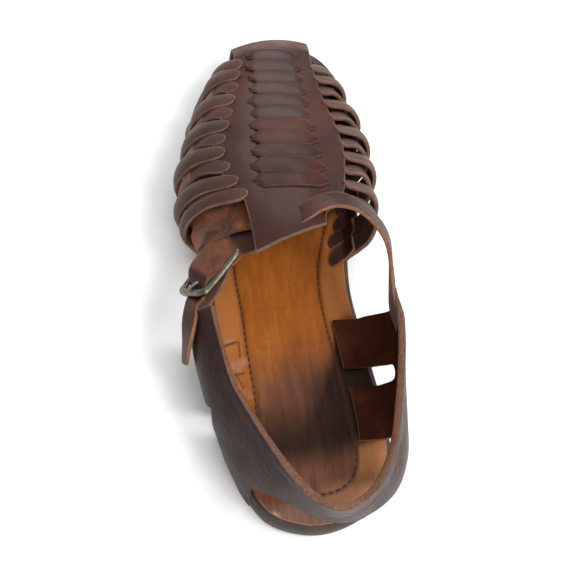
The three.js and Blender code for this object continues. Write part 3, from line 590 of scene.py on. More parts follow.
def band_point(t, level):
    """Point of the heel band: t runs from the inner end to the outer one, level from the foot to the rim."""
    t, level = np.broadcast_arrays(np.asarray(t, float), np.asarray(level, float))
    foot = open_curve(np.column_stack([BAND[:, 0:2], np.zeros(len(BAND))]), t)
    foot[..., 2] = sole_top(foot[..., 1]) - FOOT_TRIM
    swell = open_curve(BAND[:, 2:5], t)
    rim = open_curve(BAND[:, 5:8], t)
    foot_share = (level - BAND_SWELL) * (level - 1) / BAND_SWELL
    swell_share = level * (level - 1) / (BAND_SWELL * (BAND_SWELL - 1))
    rim_share = level * (level - BAND_SWELL) / (1 - BAND_SWELL)
    point = foot * foot_share[..., None] + swell * swell_share[..., None] + rim * rim_share[..., None]
    on_leg = smooth_step(*LEG_RUN, foot[..., 1]) * (foot[..., 0] > 0)
    point[..., 0] -= LEG_INWARD * on_leg * np.maximum(1 - level / LEG_LEVEL, 0) ** LEG_EASE
    lowest = mix(foot[..., 2], insole_top(foot[..., 1]) + CLEAR + LEATHER, on_leg)
    point[..., 2] = np.maximum(point[..., 2], lowest)
    return point


# Directions of the buckle
FRAME_LONG = float(np.linalg.norm(ANCHOR_BAR - FREE_BAR))
frame_along = (ANCHOR_BAR - FREE_BAR) / FRAME_LONG
frame_bar = unit(BAR_LINE - frame_along * BAR_LINE.dot(frame_along))
frame_above = np.cross(frame_bar, frame_along)
frame_above = frame_above * np.sign(frame_above[2])


def in_buckle(along, bar, above):
    return FREE_BAR + frame_along * along + frame_bar * bar + frame_above * above


# Meshes

class Skin:
    """Points, faces and material numbers of one mesh."""

    def __init__(self):
        self.points = []
        self.faces = []
        self.slots = []
        self.rims = []

    def add(self, points, rim=0.0):
        """Adds points and gives their numbers."""
        start = len(self.points)
        flat = np.asarray(points, float).reshape(-1, 3)
        self.points.extend(flat.tolist())
        self.rims.extend(np.broadcast_to(np.ravel(rim), len(flat)))
        return range(start, start + len(flat))

    def face(self, corners, slot):
        self.faces.append(tuple(int(c) for c in corners))
        self.slots.append(slot)

    def strip(self, first, second, slot):
        """Ring of faces between two closed loops of points."""
        count = len(first)
        for k in range(count):
            n = (k + 1) % count
            self.face((first[k], first[n], second[n], second[k]), slot)

    def rings(self, rings, slot=0):
        """Faces through rings of points, which are closed loops; gives the numbers of their points."""
        loops = [self.add(ring) for ring in rings]
        for first, second in zip(loops, loops[1:]):
            self.strip(first, second, slot)
        return loops

    def caps(self, loops, slot=0):
        self.face(reversed(loops[0]), slot)
        self.face(loops[-1], slot)

    def make(self, name, materials, sharp=60.0):
        mesh = bpy.data.meshes.new(name)
        placed = (np.array(self.points) - ORIGIN) * METRE
        mesh.from_pydata(placed.tolist(), [], self.faces)
        mesh.polygons.foreach_set("material_index", self.slots)
        set_attribute(mesh, "rim", self.rims)
        for material in materials:
            mesh.materials.append(material)
        work = bmesh.new()
        work.from_mesh(mesh)
        bmesh.ops.recalc_face_normals(work, faces=work.faces)
        work.to_mesh(mesh)
        work.free()
        finish_mesh(mesh, sharp)
        return add_object(name, mesh)


def set_attribute(mesh, name, values):
    attribute = mesh.attributes.new(name, "FLOAT", "POINT")
    attribute.data.foreach_set("value", np.asarray(values, float))


def finish_mesh(mesh, sharp):
    mesh.polygons.foreach_set("use_smooth", [True] * len(mesh.polygons))
    mesh.set_sharp_from_angle(angle=math.radians(sharp))
    mesh.update()


def add_object(name, data):
    obj = bpy.data.objects.new(name, data)
    bpy.context.scene.collection.objects.link(obj)
    return obj


def grid_normals(grid):
    normal = np.cross(np.gradient(grid, axis=0), np.gradient(grid, axis=1))
    return normal / np.maximum(np.linalg.norm(normal, axis=2, keepdims=True), TINY)


def rim_share(grid):
    """1 at the border of a grid, falling to 0 a little way inside."""
    nearest = np.full(grid.shape[:2], RIM_REACH)
    for axis in (0, 1):
        steps = np.linalg.norm(np.diff(grid, axis=axis), axis=2)
        reached = np.insert(np.cumsum(steps, axis=axis), 0, 0, axis=axis)
        to_end = np.take(reached, [-1], axis=axis) - reached
        nearest = np.minimum(nearest, np.minimum(reached, to_end))
    return np.clip(1 - nearest / RIM_REACH, 0, 1)


def add_plate(skin, grain, flesh, raw=None, wear=0.0):
    """Closed leather plate between its grain face and its flesh face, with rounded cut edges.

    Rows marked raw show the flesh side on both faces; wear adds to the chafing of the border.
    """
    rows, columns = grain.shape[:2]
    raw = np.zeros(rows, bool) if raw is None else raw
    rim = np.maximum(rim_share(grain), wear)
    top = skin.add(grain, rim)
    under = skin.add(flesh, rim)
    index = np.arange(rows * columns).reshape(rows, columns)
    for r in range(rows - 1):
        for c in range(columns - 1):
            cell = (index[r, c], index[r + 1, c], index[r + 1, c + 1], index[r, c + 1])
            skin.face([top[k] for k in cell], FLESH if raw[r] else GRAIN)
            skin.face([under[k] for k in reversed(cell)], FLESH)
    border = [(0, c) for c in range(columns - 1)]
    border += [(r, columns - 1) for r in range(rows - 1)]
    border += [(rows - 1, c) for c in range(columns - 1, 0, -1)]
    border += [(r, 0) for r in range(rows - 1, 0, -1)]
    edge_top = np.array([grain[place] for place in border])
    edge_low = np.array([flesh[place] for place in border])
    out = []
    for r, c in border:
        way = np.zeros(3)
        ends = ((r == 0, (1, c)), (r == rows - 1, (-2, c)), (c == 0, (r, 1)), (c == columns - 1, (r, -2)))
        for at_end, inside in ends:
            if at_end:
                way += unit(grain[r, c] - grain[inside])
        out.append(unit(way))
    thin = np.clip(np.linalg.norm(edge_top - edge_low, axis=1, keepdims=True) / LEATHER, 0, 1)
    last = [top[index[place]] for place in border]
    slot = GRAIN
    for push, depth in EDGE_PROFILE:
        here = skin.add(mix(edge_top, edge_low, depth) + np.array(out) * push * thin, 1.0)
        skin.strip(last, here, slot)
        last = here
        slot = EDGE
    skin.strip(last, [under[index[place]] for place in border], EDGE)


def plate_from(skin, base, thickness, grain_outside, raw=None, wear=0.0):
    """Leather plate over a grid of points, its other face one thickness away."""
    other = base - grid_normals(base) * thickness
    faces = (other, base) if grain_outside else (base, other)
    add_plate(skin, *faces, raw, wear)


def tube(skin, path, radii, closed, sides, flat=1.0):
    """Round wire along a path of points."""
    ahead = np.roll(path, -1, axis=0) - np.roll(path, 1, axis=0) if closed else np.gradient(path, axis=0)
    turn = np.arange(sides)[:, None] / sides * 2 * math.pi
    rings = []
    for point, way, radius in zip(path, ahead, radii):
        tangent = unit(way)
        up = unit(frame_above - tangent * frame_above.dot(tangent))
        rings.append(point + radius * (np.cos(turn) * np.cross(tangent, up) + flat * np.sin(turn) * up))
    loops = skin.rings(rings)
    if closed:
        skin.strip(loops[-1], loops[0], 0)
    else:
        skin.caps(loops)


# Materials

MIX_FACTOR, MIX_A, MIX_B, MIX_RESULT = 0, 6, 7, 2


class Paint:
    """Node material with a principled shader."""

    def __init__(self, name, **settings):
        self.material = bpy.data.materials.new(name)
        self.material.use_nodes = True
        self.tree = self.material.node_tree
        self.tree.nodes.clear()
        output = self.tree.nodes.new("ShaderNodeOutputMaterial")
        self.shader = self.tree.nodes.new("ShaderNodeBsdfPrincipled")
        self.tree.links.new(self.shader.outputs["BSDF"], output.inputs["Surface"])
        self.fill(self.shader, settings)
        self.place = self.tree.nodes.new("ShaderNodeTexCoord").outputs["Object"]

    def put(self, socket, value):
        if isinstance(value, bpy.types.NodeSocket):
            self.tree.links.new(value, socket)
        elif socket.type == "RGBA":
            socket.default_value = (*value, 1)
        else:
            socket.default_value = value

    def fill(self, node, settings):
        for socket, value in settings.items():
            self.put(node.inputs[socket.replace("_", " ")], value)

    def node(self, kind, output, **settings):
        """New node with its inputs set or linked; gives one of its outputs."""
        node = self.tree.nodes.new("ShaderNode" + kind)
        self.fill(node, settings)
        return node.outputs[output]

    def stretched(self, scale):
        return self.node("Mapping", "Vector", Vector=self.place, Scale=scale)

    def noise(self, scale, detail=3.0, roughness=0.55, distortion=0.0, place=None):
        return self.node("TexNoise", "Fac", Vector=place or self.place, Scale=scale, Detail=detail,
                         Roughness=roughness, Distortion=distortion)

    def cells(self, scale):
        return self.node("TexVoronoi", "Distance", Vector=self.place, Scale=scale)

    def attribute(self, name):
        node = self.tree.nodes.new("ShaderNodeAttribute")
        node.attribute_name = name
        return node.outputs["Fac"]

    def ramp(self, factor, stops):
        colour = self.node("ValToRGB", "Color", Fac=factor)
        elements = colour.node.color_ramp.elements
        while len(elements) < len(stops):
            elements.new(0.5)
        for element, (place, tone) in zip(elements, stops):
            element.position = place
            element.color = (*tone, 1)
        return colour

    def range(self, value, low, high, to_low=0.0, to_high=1.0):
        return self.node("MapRange", "Result", Value=value, From_Min=low, From_Max=high, To_Min=to_low,
                         To_Max=to_high)

    def math(self, operation, a, b):
        node = self.tree.nodes.new("ShaderNodeMath")
        node.operation = operation
        self.put(node.inputs[0], a)
        self.put(node.inputs[1], b)
        return node.outputs["Value"]

    def blend(self, factor, a, b):
        node = self.tree.nodes.new("ShaderNodeMix")
        node.data_type = "RGBA"
        for index, value in ((MIX_FACTOR, factor), (MIX_A, a), (MIX_B, b)):
            self.put(node.inputs[index], value)
        return node.outputs[MIX_RESULT]

    def bump(self, height, distance, strength, under=None):
        settings = {"Height": height, "Distance": distance, "Strength": strength}
        if under is not None:
            settings["Normal"] = under
        return self.node("Bump", "Normal", **settings)

    def wear(self, colour, roughness, normal=None):
        settings = {"Base Color": colour, "Roughness": roughness}
        if normal is not None:
            settings["Normal"] = normal
        self.fill(self.shader, settings)
        return self.material


def grain_leather(name, deep, middle, red, dust, worn_rim=(0.16, 0.09, 0.066), gloss=0.1, shine=0.1,
                  wrinkle=0.4):
    """Waxed brown leather: blotches, rubbed red patches, dull dust and fine grain."""
    paint = Paint(name, Coat_Weight=gloss, Coat_Roughness=0.2, Specular_IOR_Level=shine)
    colour = paint.ramp(paint.noise(34, 4, 0.6, 0.4), [(0.3, deep), (0.62, middle)])
    colour = paint.blend(paint.range(paint.noise(16, 3, 0.5, 0.8), 0.5, 0.72), colour, red)
    colour = paint.blend(paint.range(paint.noise(420, 2, 0.6), 0.55, 0.85, 0, 0.3), colour, dust)
    patchy = paint.range(paint.noise(130, 3), 0.35, 0.65, 0.35, 0.9)
    chafe = paint.math("MULTIPLY", paint.range(paint.attribute("rim"), 0.74, 1.0), patchy)
    colour = paint.blend(chafe, colour, worn_rim)
    roughness = paint.range(paint.noise(55, 3), 0.3, 0.7, 0.36, 0.56)
    crease = paint.noise(150, 3, 0.6, 1.2, paint.stretched((1.0, 0.35, 1.0)))
    scratch = paint.noise(420, 3, 0.7, 0.6, paint.stretched((0.22, 1.0, 1.0)))
    normal = paint.bump(crease, 0.0006, wrinkle)
    normal = paint.bump(scratch, 0.00028, 0.45, normal)
    normal = paint.bump(paint.cells(1150), 0.00018, 0.4, normal)
    normal = paint.bump(paint.noise(2400, 2), 0.00015, 0.4, normal)
    return paint.wear(colour, roughness, normal)


def raw_edge(name, light, dark):
    """Cut edge of leather: fibres, rubbed light and dark."""
    paint = Paint(name, Specular_IOR_Level=0.3)
    fibre = paint.noise(900, 3, 0.6, 0.3, paint.stretched((1.0, 1.0, 2.4)))
    patch = paint.noise(90, 3, 0.6)
    colour = paint.ramp(fibre, [(0.3, dark), (0.7, light)])
    colour = paint.blend(paint.range(patch, 0.5, 0.75, 0, 0.7), colour, dark)
    return paint.wear(colour, paint.range(patch, 0.2, 0.8, 0.55, 0.75), paint.bump(fibre, 0.0004, 0.6))


def flesh_side(name, light, dark, patch_scale=45, sheen=0.15, shine=0.25):
    """Rough inner side of the leather."""
    paint = Paint(name, Specular_IOR_Level=shine, Sheen_Weight=sheen, Sheen_Roughness=0.5)
    nap = paint.noise(700, 4, 0.65)
    patch = paint.noise(patch_scale, 4, 0.6, 0.6)
    colour = paint.ramp(patch, [(0.32, dark), (0.68, light)])
    colour = paint.blend(paint.range(nap, 0.4, 0.75, 0, 0.5), colour, dark)
    return paint.wear(colour, paint.range(nap, 0.2, 0.8, 0.6, 0.85), paint.bump(nap, 0.0005, 0.6))


def insole_leather(name):
    """Tan insole: fibre streaks along the foot, darker polished heel, paler margin outside the stitching,
    painted light on the inner heel margin, a painted shadow over the heel, and painted shade beside the inner
    strips, under the vamp and in two creases.
    """
    paint = Paint(name, Specular_IOR_Level=0.09)
    streak = paint.noise(260, 4, 0.6, 0.5, paint.stretched((1.0, 0.16, 1.0)))
    patch = paint.noise(28, 4, 0.6, 0.5)
    speck = paint.noise(600, 2, 0.6)
    colour = paint.ramp(streak, [(0.3, (0.27, 0.078, 0.0115)), (0.7, (0.4, 0.122, 0.019))])
    colour = paint.blend(paint.range(patch, 0.45, 0.72, 0, 0.5), colour, (0.25, 0.066, 0.009))
    colour = paint.blend(paint.range(speck, 0.55, 0.8, 0, 0.4), colour, (0.14, 0.045, 0.014))
    # Paler margin, with the painted light on the inner heel margin
    colour = paint.blend(paint.math("MULTIPLY", paint.attribute("margin"), 0.5), colour, (0.46, 0.18, 0.06))
    # Darker heel tone, laid behind the front border of the painted shadow and on the polished heel
    wear_and_shadow = paint.attribute("wear_and_shadow")
    ragged_wear_and_shadow = paint.math("ADD", wear_and_shadow, paint.range(patch, 0.2, 0.8, -0.18, 0.18))
    heel = paint.ramp(streak, [(0.3, (0.085, 0.026, 0.012)), (0.75, (0.16, 0.052, 0.023))])
    colour = paint.blend(paint.range(ragged_wear_and_shadow, 0.2, 0.85), colour, heel)
    # Painted shadow and shade: near-black leather tone laid by the shade attribute
    dark = paint.ramp(streak, [(0.3, (0.011, 0.0036, 0.0018)), (0.75, (0.03, 0.0098, 0.0045))])
    shade = paint.math("ADD", paint.attribute("shade"), paint.range(patch, 0.2, 0.8, -0.15, 0.15))
    colour = paint.blend(paint.range(shade, 0.05, 0.95, 0, 0.96), colour, dark)
    # Dark stitch groove and cracks, with painted shade in two creases
    colour = paint.blend(paint.math("MULTIPLY", paint.attribute("seam_and_crease_shade"), 0.8), colour, (0.06, 0.022, 0.01))
    # Scuffs and dust haze, with haze over the painted light on the inner heel margin
    scuff_and_light = paint.math("MULTIPLY", paint.attribute("scuff_and_light"), paint.range(streak, 0.3, 0.7, 0.45, 1.0))
    colour = paint.blend(scuff_and_light, colour, (0.42, 0.33, 0.26))
    polish = paint.math("MULTIPLY", wear_and_shadow, 0.14)
    roughness = paint.math("SUBTRACT", paint.range(patch, 0.2, 0.8, 0.46, 0.62), polish)
    normal = paint.bump(paint.cells(900), 0.0002, 0.35, paint.bump(streak, 0.0004, 0.45))
    return paint.wear(colour, roughness, normal)


def sole_rubber(name):
    """Dark rubber edge with dull scuffs and fine lines from the trimming."""
    paint = Paint(name, Specular_IOR_Level=0.35)
    patch = paint.noise(60, 4, 0.6)
    lines = paint.noise(900, 3, 0.6, 0.2, paint.stretched((0.08, 0.08, 1.6)))
    scuff_and_light = paint.noise(210, 4, 0.7, 0.6)
    colour = paint.ramp(patch, [(0.3, (0.03, 0.023, 0.019)), (0.7, (0.075, 0.06, 0.05))])
    colour = paint.blend(paint.range(lines, 0.55, 0.8, 0, 0.6), colour, (0.085, 0.07, 0.06))
    colour = paint.blend(paint.range(scuff_and_light, 0.66, 0.8, 0, 0.7), colour, (0.2, 0.17, 0.15))
    normal = paint.bump(scuff_and_light, 0.0004, 0.3, paint.bump(lines, 0.0004, 0.5))
    return paint.wear(colour, paint.range(patch, 0.2, 0.8, 0.5, 0.75), normal)


def aged_brass(name):
    paint = Paint(name, Metallic=1.0, Specular_IOR_Level=0.5)
    patch = paint.noise(240, 4, 0.65, 0.5)
    tones = [(0.3, (0.075, 0.072, 0.058)), (0.6, (0.2, 0.185, 0.14)), (0.8, (0.36, 0.31, 0.2))]
    normal = paint.bump(paint.noise(1500, 2, 0.6), 0.0002, 0.3)
    return paint.wear(paint.ramp(patch, tones), paint.range(patch, 0.2, 0.8, 0.5, 0.3), normal)


def thread(name):
    paint = Paint(name, Specular_IOR_Level=0.3)
    twist = paint.noise(1800, 2, 0.5)
    colour = paint.ramp(twist, [(0.3, (0.02, 0.012, 0.008)), (0.7, (0.07, 0.04, 0.024))])
    return paint.wear(colour, paint.range(twist, 0.2, 0.8, 0.6, 0.8), paint.bump(twist, 0.0003, 0.5))


def pale_floor(name):
    paint = Paint(name, Specular_IOR_Level=0.1)
    cloud = paint.noise(3, 2)
    colour = paint.ramp(cloud, [(0.2, (0.86, 0.86, 0.86)), (0.8, (0.88, 0.88, 0.88))])
    return paint.wear(colour, paint.range(cloud, 0, 1, 0.85, 0.95))


UPPER = grain_leather(
    "upper_leather", (0.022, 0.0078, 0.006), (0.046, 0.0165, 0.012), (0.068, 0.0185, 0.0105),
    (0.075, 0.043, 0.034))
TOE_BRAID = grain_leather(
    "toe_braid_leather", (0.011, 0.006, 0.0055), (0.032, 0.0142, 0.0118), (0.052, 0.0165, 0.011),
    (0.07, 0.045, 0.038), worn_rim=(0.085, 0.05, 0.04), gloss=0.16, shine=0.07)
RED_BRAID = grain_leather(
    "red_braid_leather", (0.013, 0.0052, 0.0042), (0.044, 0.0125, 0.0082), (0.092, 0.02, 0.0092),
    (0.06, 0.033, 0.026), worn_rim=(0.1, 0.05, 0.037), shine=0.07)
# Band leather: a darker copy of the upper leather, painted shade for the band's shaded outer side
BAND_GRAIN_SHADED = grain_leather(
    "band_leather_shaded", (0.014, 0.006, 0.0051), (0.031, 0.0127, 0.01), (0.045, 0.0138, 0.0092),
    (0.068, 0.04, 0.032), wrinkle=0.95)
STRAP_GRAIN = grain_leather(
    "strap_leather", (0.022, 0.0078, 0.006), (0.046, 0.0165, 0.012), (0.075, 0.02, 0.011),
    (0.085, 0.047, 0.036), worn_rim=(0.19, 0.072, 0.038))
STRIP_GRAIN = grain_leather(
    "strip_leather", (0.034, 0.0158, 0.0128), (0.076, 0.036, 0.028), (0.088, 0.032, 0.021),
    (0.115, 0.073, 0.06), worn_rim=(0.2, 0.122, 0.092))
CUT_EDGE = raw_edge("upper_cut_edge", (0.22, 0.112, 0.07), (0.075, 0.036, 0.024))
# Braid cut edge: a dark copy of the cut edge, painted shade in the lines between the bars
BRAID_EDGE_SHADED = raw_edge("braid_cut_edge_shaded", (0.08, 0.038, 0.026), (0.03, 0.014, 0.01))
STRAP_EDGE = raw_edge("strap_cut_edge", (0.28, 0.13, 0.062), (0.1, 0.045, 0.025))
BAND_EDGE = raw_edge("band_cut_edge", (0.19, 0.086, 0.048), (0.07, 0.03, 0.018))
INSOLE_EDGE = raw_edge("insole_cut_edge", (0.38, 0.19, 0.09), (0.2, 0.085, 0.035))
FLESH_SIDE = flesh_side("upper_flesh_side", (0.24, 0.1, 0.048), (0.1, 0.038, 0.02))
# Darker copies of the flesh side as painted shade, for the inner faces of the band and of the inner strips
BAND_INSIDE_SHADED = flesh_side("band_inside_shaded", (0.075, 0.021, 0.009), (0.034, 0.009, 0.004), sheen=0.0, shine=0.04)
STRIP_INSIDE_SHADED = flesh_side("strip_inside_shaded", (0.1, 0.05, 0.036), (0.05, 0.024, 0.018), sheen=0.05)
STRAP_INSIDE = flesh_side("strap_inside", (0.085, 0.032, 0.018), (0.036, 0.014, 0.009))
LINING = flesh_side("vamp_lining", (0.28, 0.072, 0.018), (0.022, 0.008, 0.005), 80)
INSOLE = insole_leather("insole_leather")
RUBBER = sole_rubber("sole_rubber")
BRASS = aged_brass("buckle_metal")
THREAD = thread("insole_thread")
LEATHER_SET = [UPPER, CUT_EDGE, FLESH_SIDE]
BAND_SET = [BAND_GRAIN_SHADED, BAND_EDGE, BAND_INSIDE_SHADED]


# Sole and insole

def build_sole():
    skin = Skin()
    s = np.clip(outline[:, 1], 0, SHOE_LENGTH)
    rings = []
    for inset, share, drop in SOLE_RINGS:
        z = mix(sole_top(s), sole_bottom(s), share) - drop
        rings.append(np.column_stack([loop_at(inset), z]))
    loops = skin.rings(rings)
    for loop in (loops[0], loops[-1]):
        for k in range(LOOP_SAMPLES // 2):
            corners = list(dict.fromkeys((loop[k], loop[k + 1], loop[-k - 1], loop[-k])))
            if len(corners) > 2:
                skin.face(corners, 0)
    return skin.make("sole", [RUBBER], sharp=45)


stitch_path = open_curve(STITCH_LINE, np.linspace(0, 1, STITCH_SAMPLES))


def insole_height(y, cross):
    """Height of the dished insole at a share across it, from -1 at the outer edge to 1 at the inner one."""
    return insole_top(y) - INSOLE_DISH * (1 - cross**2)


def stitch_reach(x, y):
    """Distance to the stitch line."""
    reach = np.full(x.shape, math.inf)
    for stitch_x, stitch_y in stitch_path:
        reach = np.minimum(reach, np.hypot(x - stitch_x, y - stitch_y))
    return reach


def inside_stitches(x, y):
    """Whether points lie inside the stitch line, closed under the vamp."""
    inside = np.zeros(len(x), bool)
    for (ax, ay), (bx, by) in zip(stitch_path, np.roll(stitch_path, -1, axis=0)):
        crosses = (ay > y) != (by > y)
        if crosses.any():
            inside ^= crosses & (x < ax + (y - ay) / (by - ay) * (bx - ax))
    return inside


def line_marks(x, y, rows):
    """Strongest of a table's lines of wear at each point."""
    found = np.zeros(len(x))
    for (ax, ay), (bx, by), wide, sharpness, strength in rows:
        run_x, run_y = bx - ax, by - ay
        share = np.clip(((x - ax) * run_x + (y - ay) * run_y) / (run_x**2 + run_y**2), 0, 1)
        mark = np.clip(1 - np.hypot(x - ax - share * run_x, y - ay - share * run_y) / wide, 0, 1)
        found = np.maximum(found, strength * np.clip(sharpness * mark, 0, 1))
    return found


def spot(x, y, middle, size):
    """Distance from a spot's middle, as a share of its size."""
    return np.hypot((x - middle[0]) / size[0], (y - middle[1]) / size[1])


def insole_wear_light_and_shade(x, y):
    """Stitch groove and cracks with painted crease shade, paler margin with painted light at the inner heel,
    heel wear with a painted shadow, painted shade, and dusty scuffs of the insole at its points.
    """
    reach = stitch_reach(x, y)
    inside = inside_stitches(x, y)
    outside = ~inside
    # Painted shadow of the inner band over the heel, between a front and a rear border; the heel's darker
    # tone starts at the same front border
    front = y - np.interp(x, *SHADE_FRONT)
    rear = y - np.interp(x, *SHADE_REAR)
    blur = mix(*SHADE_BLUR, smooth_step(*SHADE_BLUR_RUN, x))
    wear_and_shadow = 1 - smooth_step(-blur, blur * SHADE_BLUR_AHEAD, front)
    shade = wear_and_shadow * smooth_step(*SHADE_REAR_BLUR, rear)
    polish = HEEL_POLISH * inside * (1 - smooth_step(*HEEL_POLISH_RUN, y - HEEL_POLISH_SLOPE * x))
    # Painted light on the inner heel margin outside the stitching; it also clears the heel's darker tone
    # there
    lit_margin = LIT_MARGIN * outside * np.clip(reach / LIT_MARGIN_REACH, 0, 1) * smooth_step(*LIT_MARGIN_ACROSS, x)
    lit_margin = lit_margin * smooth_step(*LIT_MARGIN_ALONG, y) * (1 - smooth_step(*LIT_MARGIN_REAR, rear))
    dusty = HEEL_DUST * hump(DUST_RISE, DUST_FALL, y) * smooth_step(*DUST_ACROSS, x)
    margin = outside * np.clip(reach / MARGIN_REACH, 0, 1) * smooth_step(*MARGIN_RUN, y)
    margin = np.maximum.reduce([margin, lit_margin, dusty])
    wear_and_shadow = np.maximum(wear_and_shadow, polish) * (1 - np.maximum(LIT_MARGIN_CLEARS * lit_margin, dusty))
    # Painted shadow of the inner strips
    strip_shadow = smooth_step(0, 1, 1 - spot(x, y, STRIP_SHADOW, STRIP_SHADOW_SIZE))
    # Painted shade under the vamp
    under_vamp = smooth_step(*VAMP_SHADE_ALONG, y) * smooth_step(*VAMP_SHADE_ACROSS, x)
    shade = np.maximum.reduce([shade * (1 - lit_margin), STRIP_SHADOW_DARK * strip_shadow, under_vamp])
    seam_and_crease_shade = np.maximum(np.clip(1 - reach / SEAM_REACH, 0, 1), line_marks(x, y, CRACKS_AND_CREASE_SHADE))
    scuff_and_light = np.clip(SCUFF_EDGE - spot(x, y, SCUFF, SCUFF_SIZE), 0, 1)
    haze = HEEL_HAZE * (1 - smooth_step(*HAZE_END, y)) * inside * (1 - shade)
    heel_end = END_HAZE * (1 - smooth_step(*END_HAZE_TO, y))
    flakes = line_marks(x, y, FLAKES)
    scuff_and_light = np.maximum.reduce([scuff_and_light, haze, heel_end, DUST_HAZE * dusty, LIT_MARGIN_HAZE * lit_margin, flakes])
    return {"seam_and_crease_shade": seam_and_crease_shade, "margin": margin, "wear_and_shadow": wear_and_shadow, "shade": shade, "scuff_and_light": scuff_and_light}


def build_insole():
    along = 0.5 - 0.5 * np.cos(np.linspace(0, math.pi, INSOLE_ROWS))
    s = mix(INSOLE_FROM, SHOE_LENGTH - INSOLE_TOE_GAP, along)
    cross = -np.cos(np.linspace(0, math.pi, INSOLE_COLUMNS))[None, :]
    lat, med = insole_edges(s)
    x = mix(lat[:, None], med[:, None], (cross + 1) / 2)
    y = np.broadcast_to(s[:, None], x.shape)
    groove = np.clip(1 - stitch_reach(x, y) / GROOVE_REACH, 0, 1)
    top = np.stack([x, y, insole_height(y, cross) - STITCH_GROOVE * groove], axis=-1)
    skin = Skin()
    add_plate(skin, top, np.stack([x, y, sole_top(y) + CLEAR], axis=-1))
    obj = skin.make("insole", [INSOLE, INSOLE_EDGE, INSOLE_EDGE], sharp=50)
    points = np.array(skin.points)
    for name, values in insole_wear_light_and_shade(points[:, 0], points[:, 1]).items():
        set_attribute(obj.data, name, values)
    return obj


def build_stitches():
    """Thread along the insole's stitch line: short arched stitches, half sunk in the groove."""
    skin = Skin()
    steps = np.linalg.norm(np.diff(stitch_path, axis=0), axis=1)
    length = np.concatenate([[0], np.cumsum(steps)])
    pitch = STITCH_LONG + STITCH_GAP
    shares = np.linspace(0, 1, STITCH_ROWS)
    arch = np.sin(shares * math.pi)
    radii = STITCH_RADIUS * mix(STITCH_ENDS, 1, arch)
    turns = np.arange(STITCH_SIDES)[:, None] / STITCH_SIDES * 2 * math.pi
    up = np.array([0, 0, 1])
    for start in np.arange(STITCH_FROM, length[-1] - pitch, pitch):
        at = start + shares * STITCH_LONG
        x, y = (np.interp(at, length, stitch_path[:, key]) for key in (0, 1))
        lat, med = insole_edges(y)
        cross = np.clip(2 * (x - lat) / (med - lat) - 1, -1, 1)
        z = insole_height(y, cross) - STITCH_GROOVE + STITCH_ARCH * arch - STITCH_SINK
        path = np.column_stack([x, y, z])
        side = unit(np.cross(unit(path[-1] - path[0]), up))
        ring = np.cos(turns) * side + np.sin(turns) * up
        skin.caps(skin.rings([point + radius * ring for point, radius in zip(path, radii)]))
    return skin.make("insole_stitching", [THREAD], sharp=80)


# Upper

def bar_end(s, key):
    """Outer or inner end of the braid's bars at a distance from the heel."""
    return np.interp(s, BAR_ENDS[:, 0], BAR_ENDS[:, key])


def braid_mask(s, x):
    """1 in the braided middle of the panel."""
    left, right = bar_end(s, LAT), bar_end(s, MED)
    out, back = BRAID_SLOPE
    across = hump((left - out, left + back), (right - back, right + out), x)
    return across * hump(BRAID_RISE, BRAID_FALL, s)


def build_panel():
    toe = np.sin(np.linspace(0, math.pi / 2, PANEL_TOE_ROWS))[1:]
    s = np.concatenate([np.linspace(TONGUE_END, PANEL_BEND, PANEL_ROWS), mix(PANEL_BEND, PANEL_TOE, toe)])
    s, across = np.meshgrid(s, np.linspace(0, 1, PANEL_COLUMNS), indexing="ij")
    base = panel_point(s, across)
    base[..., 2] -= BRAID_SINK * braid_mask(s, base[..., 0])
    skin = Skin()
    # The toe bend takes the chafed border colour, as rubbing and as painted sheen
    plate_from(skin, base, LEATHER, True, wear=hump(TOE_RUB_AND_SHEEN_RISE, TOE_RUB_AND_SHEEN_FALL, s))
    return skin.make("front_panel", LEATHER_SET)


def strip_surface(row, side, along, across, shift, leaf):
    """Grid of points on a strip: along it from foot to tip and across it from -1 to 1."""
    tip, foot, reach, foot_wide, middle_wide, tip_wide, middle_lift, tip_lift = row
    crown, curl, dive = (LEAF_CROWN, 0.0, LEAF_DIVE) if leaf else (LOOP_CROWN, LOOP_CURL, 0.0)
    tip_x = column(PANEL, LAT if side < 0 else MED, tip) - side * reach
    turn = mix(2.0, turn_at(tip, side, tip_x), along)
    rounding = np.maximum((along - 1 + TIP_ROUND) / TIP_ROUND, 0)
    narrow = np.sqrt(np.maximum(1 - TIP_TAPER * rounding**2, 0))
    plain = mix(foot_wide, tip_wide, along if side < 0 else smooth_step(*INNER_SLIM, along))
    swell = hump(SWELL_RISE, OUTER_THROAT if side < 0 else INNER_THROAT, along)
    extra = (middle_wide - mix(foot_wide, tip_wide, SWELL_MIDDLE)) * swell
    aside = dive * hump(DIVE_RISE, DIVE_FALL, along) + STRIP_BEND * hump(BEND_RISE, BEND_FALL, along)
    middle = mix(foot, tip, along) + shift + aside - extra * (LOOP_SWEEP - 0.5)
    s = middle + across * (plain + extra) * narrow / 2
    up = vamp_side(s, side, turn - TURN_STEP) - vamp_side(s, side, np.minimum(turn + TURN_STEP, 2))
    forward = vamp_side(s + ALONG_STEP, side, turn) - vamp_side(s - ALONG_STEP, side, turn)
    outward = np.cross(up, forward)
    outward /= np.linalg.norm(outward, axis=-1, keepdims=True)
    outward *= np.where(outward[..., :1] * side < 0, -1, 1)
    lift = mix(0, middle_lift, smooth_step(*LIFT_RISE, along))
    lift = lift + (tip_lift - middle_lift) * smooth_step(*TIP_LIFT_RISE, along)
    if side > 0:
        lift = lift - INNER_TILT * smooth_step(*INNER_TILT_RISE, along) * across
    return vamp_side(s, side, turn) + outward * (lift - (crown + curl * swell) * across**2)[..., None]


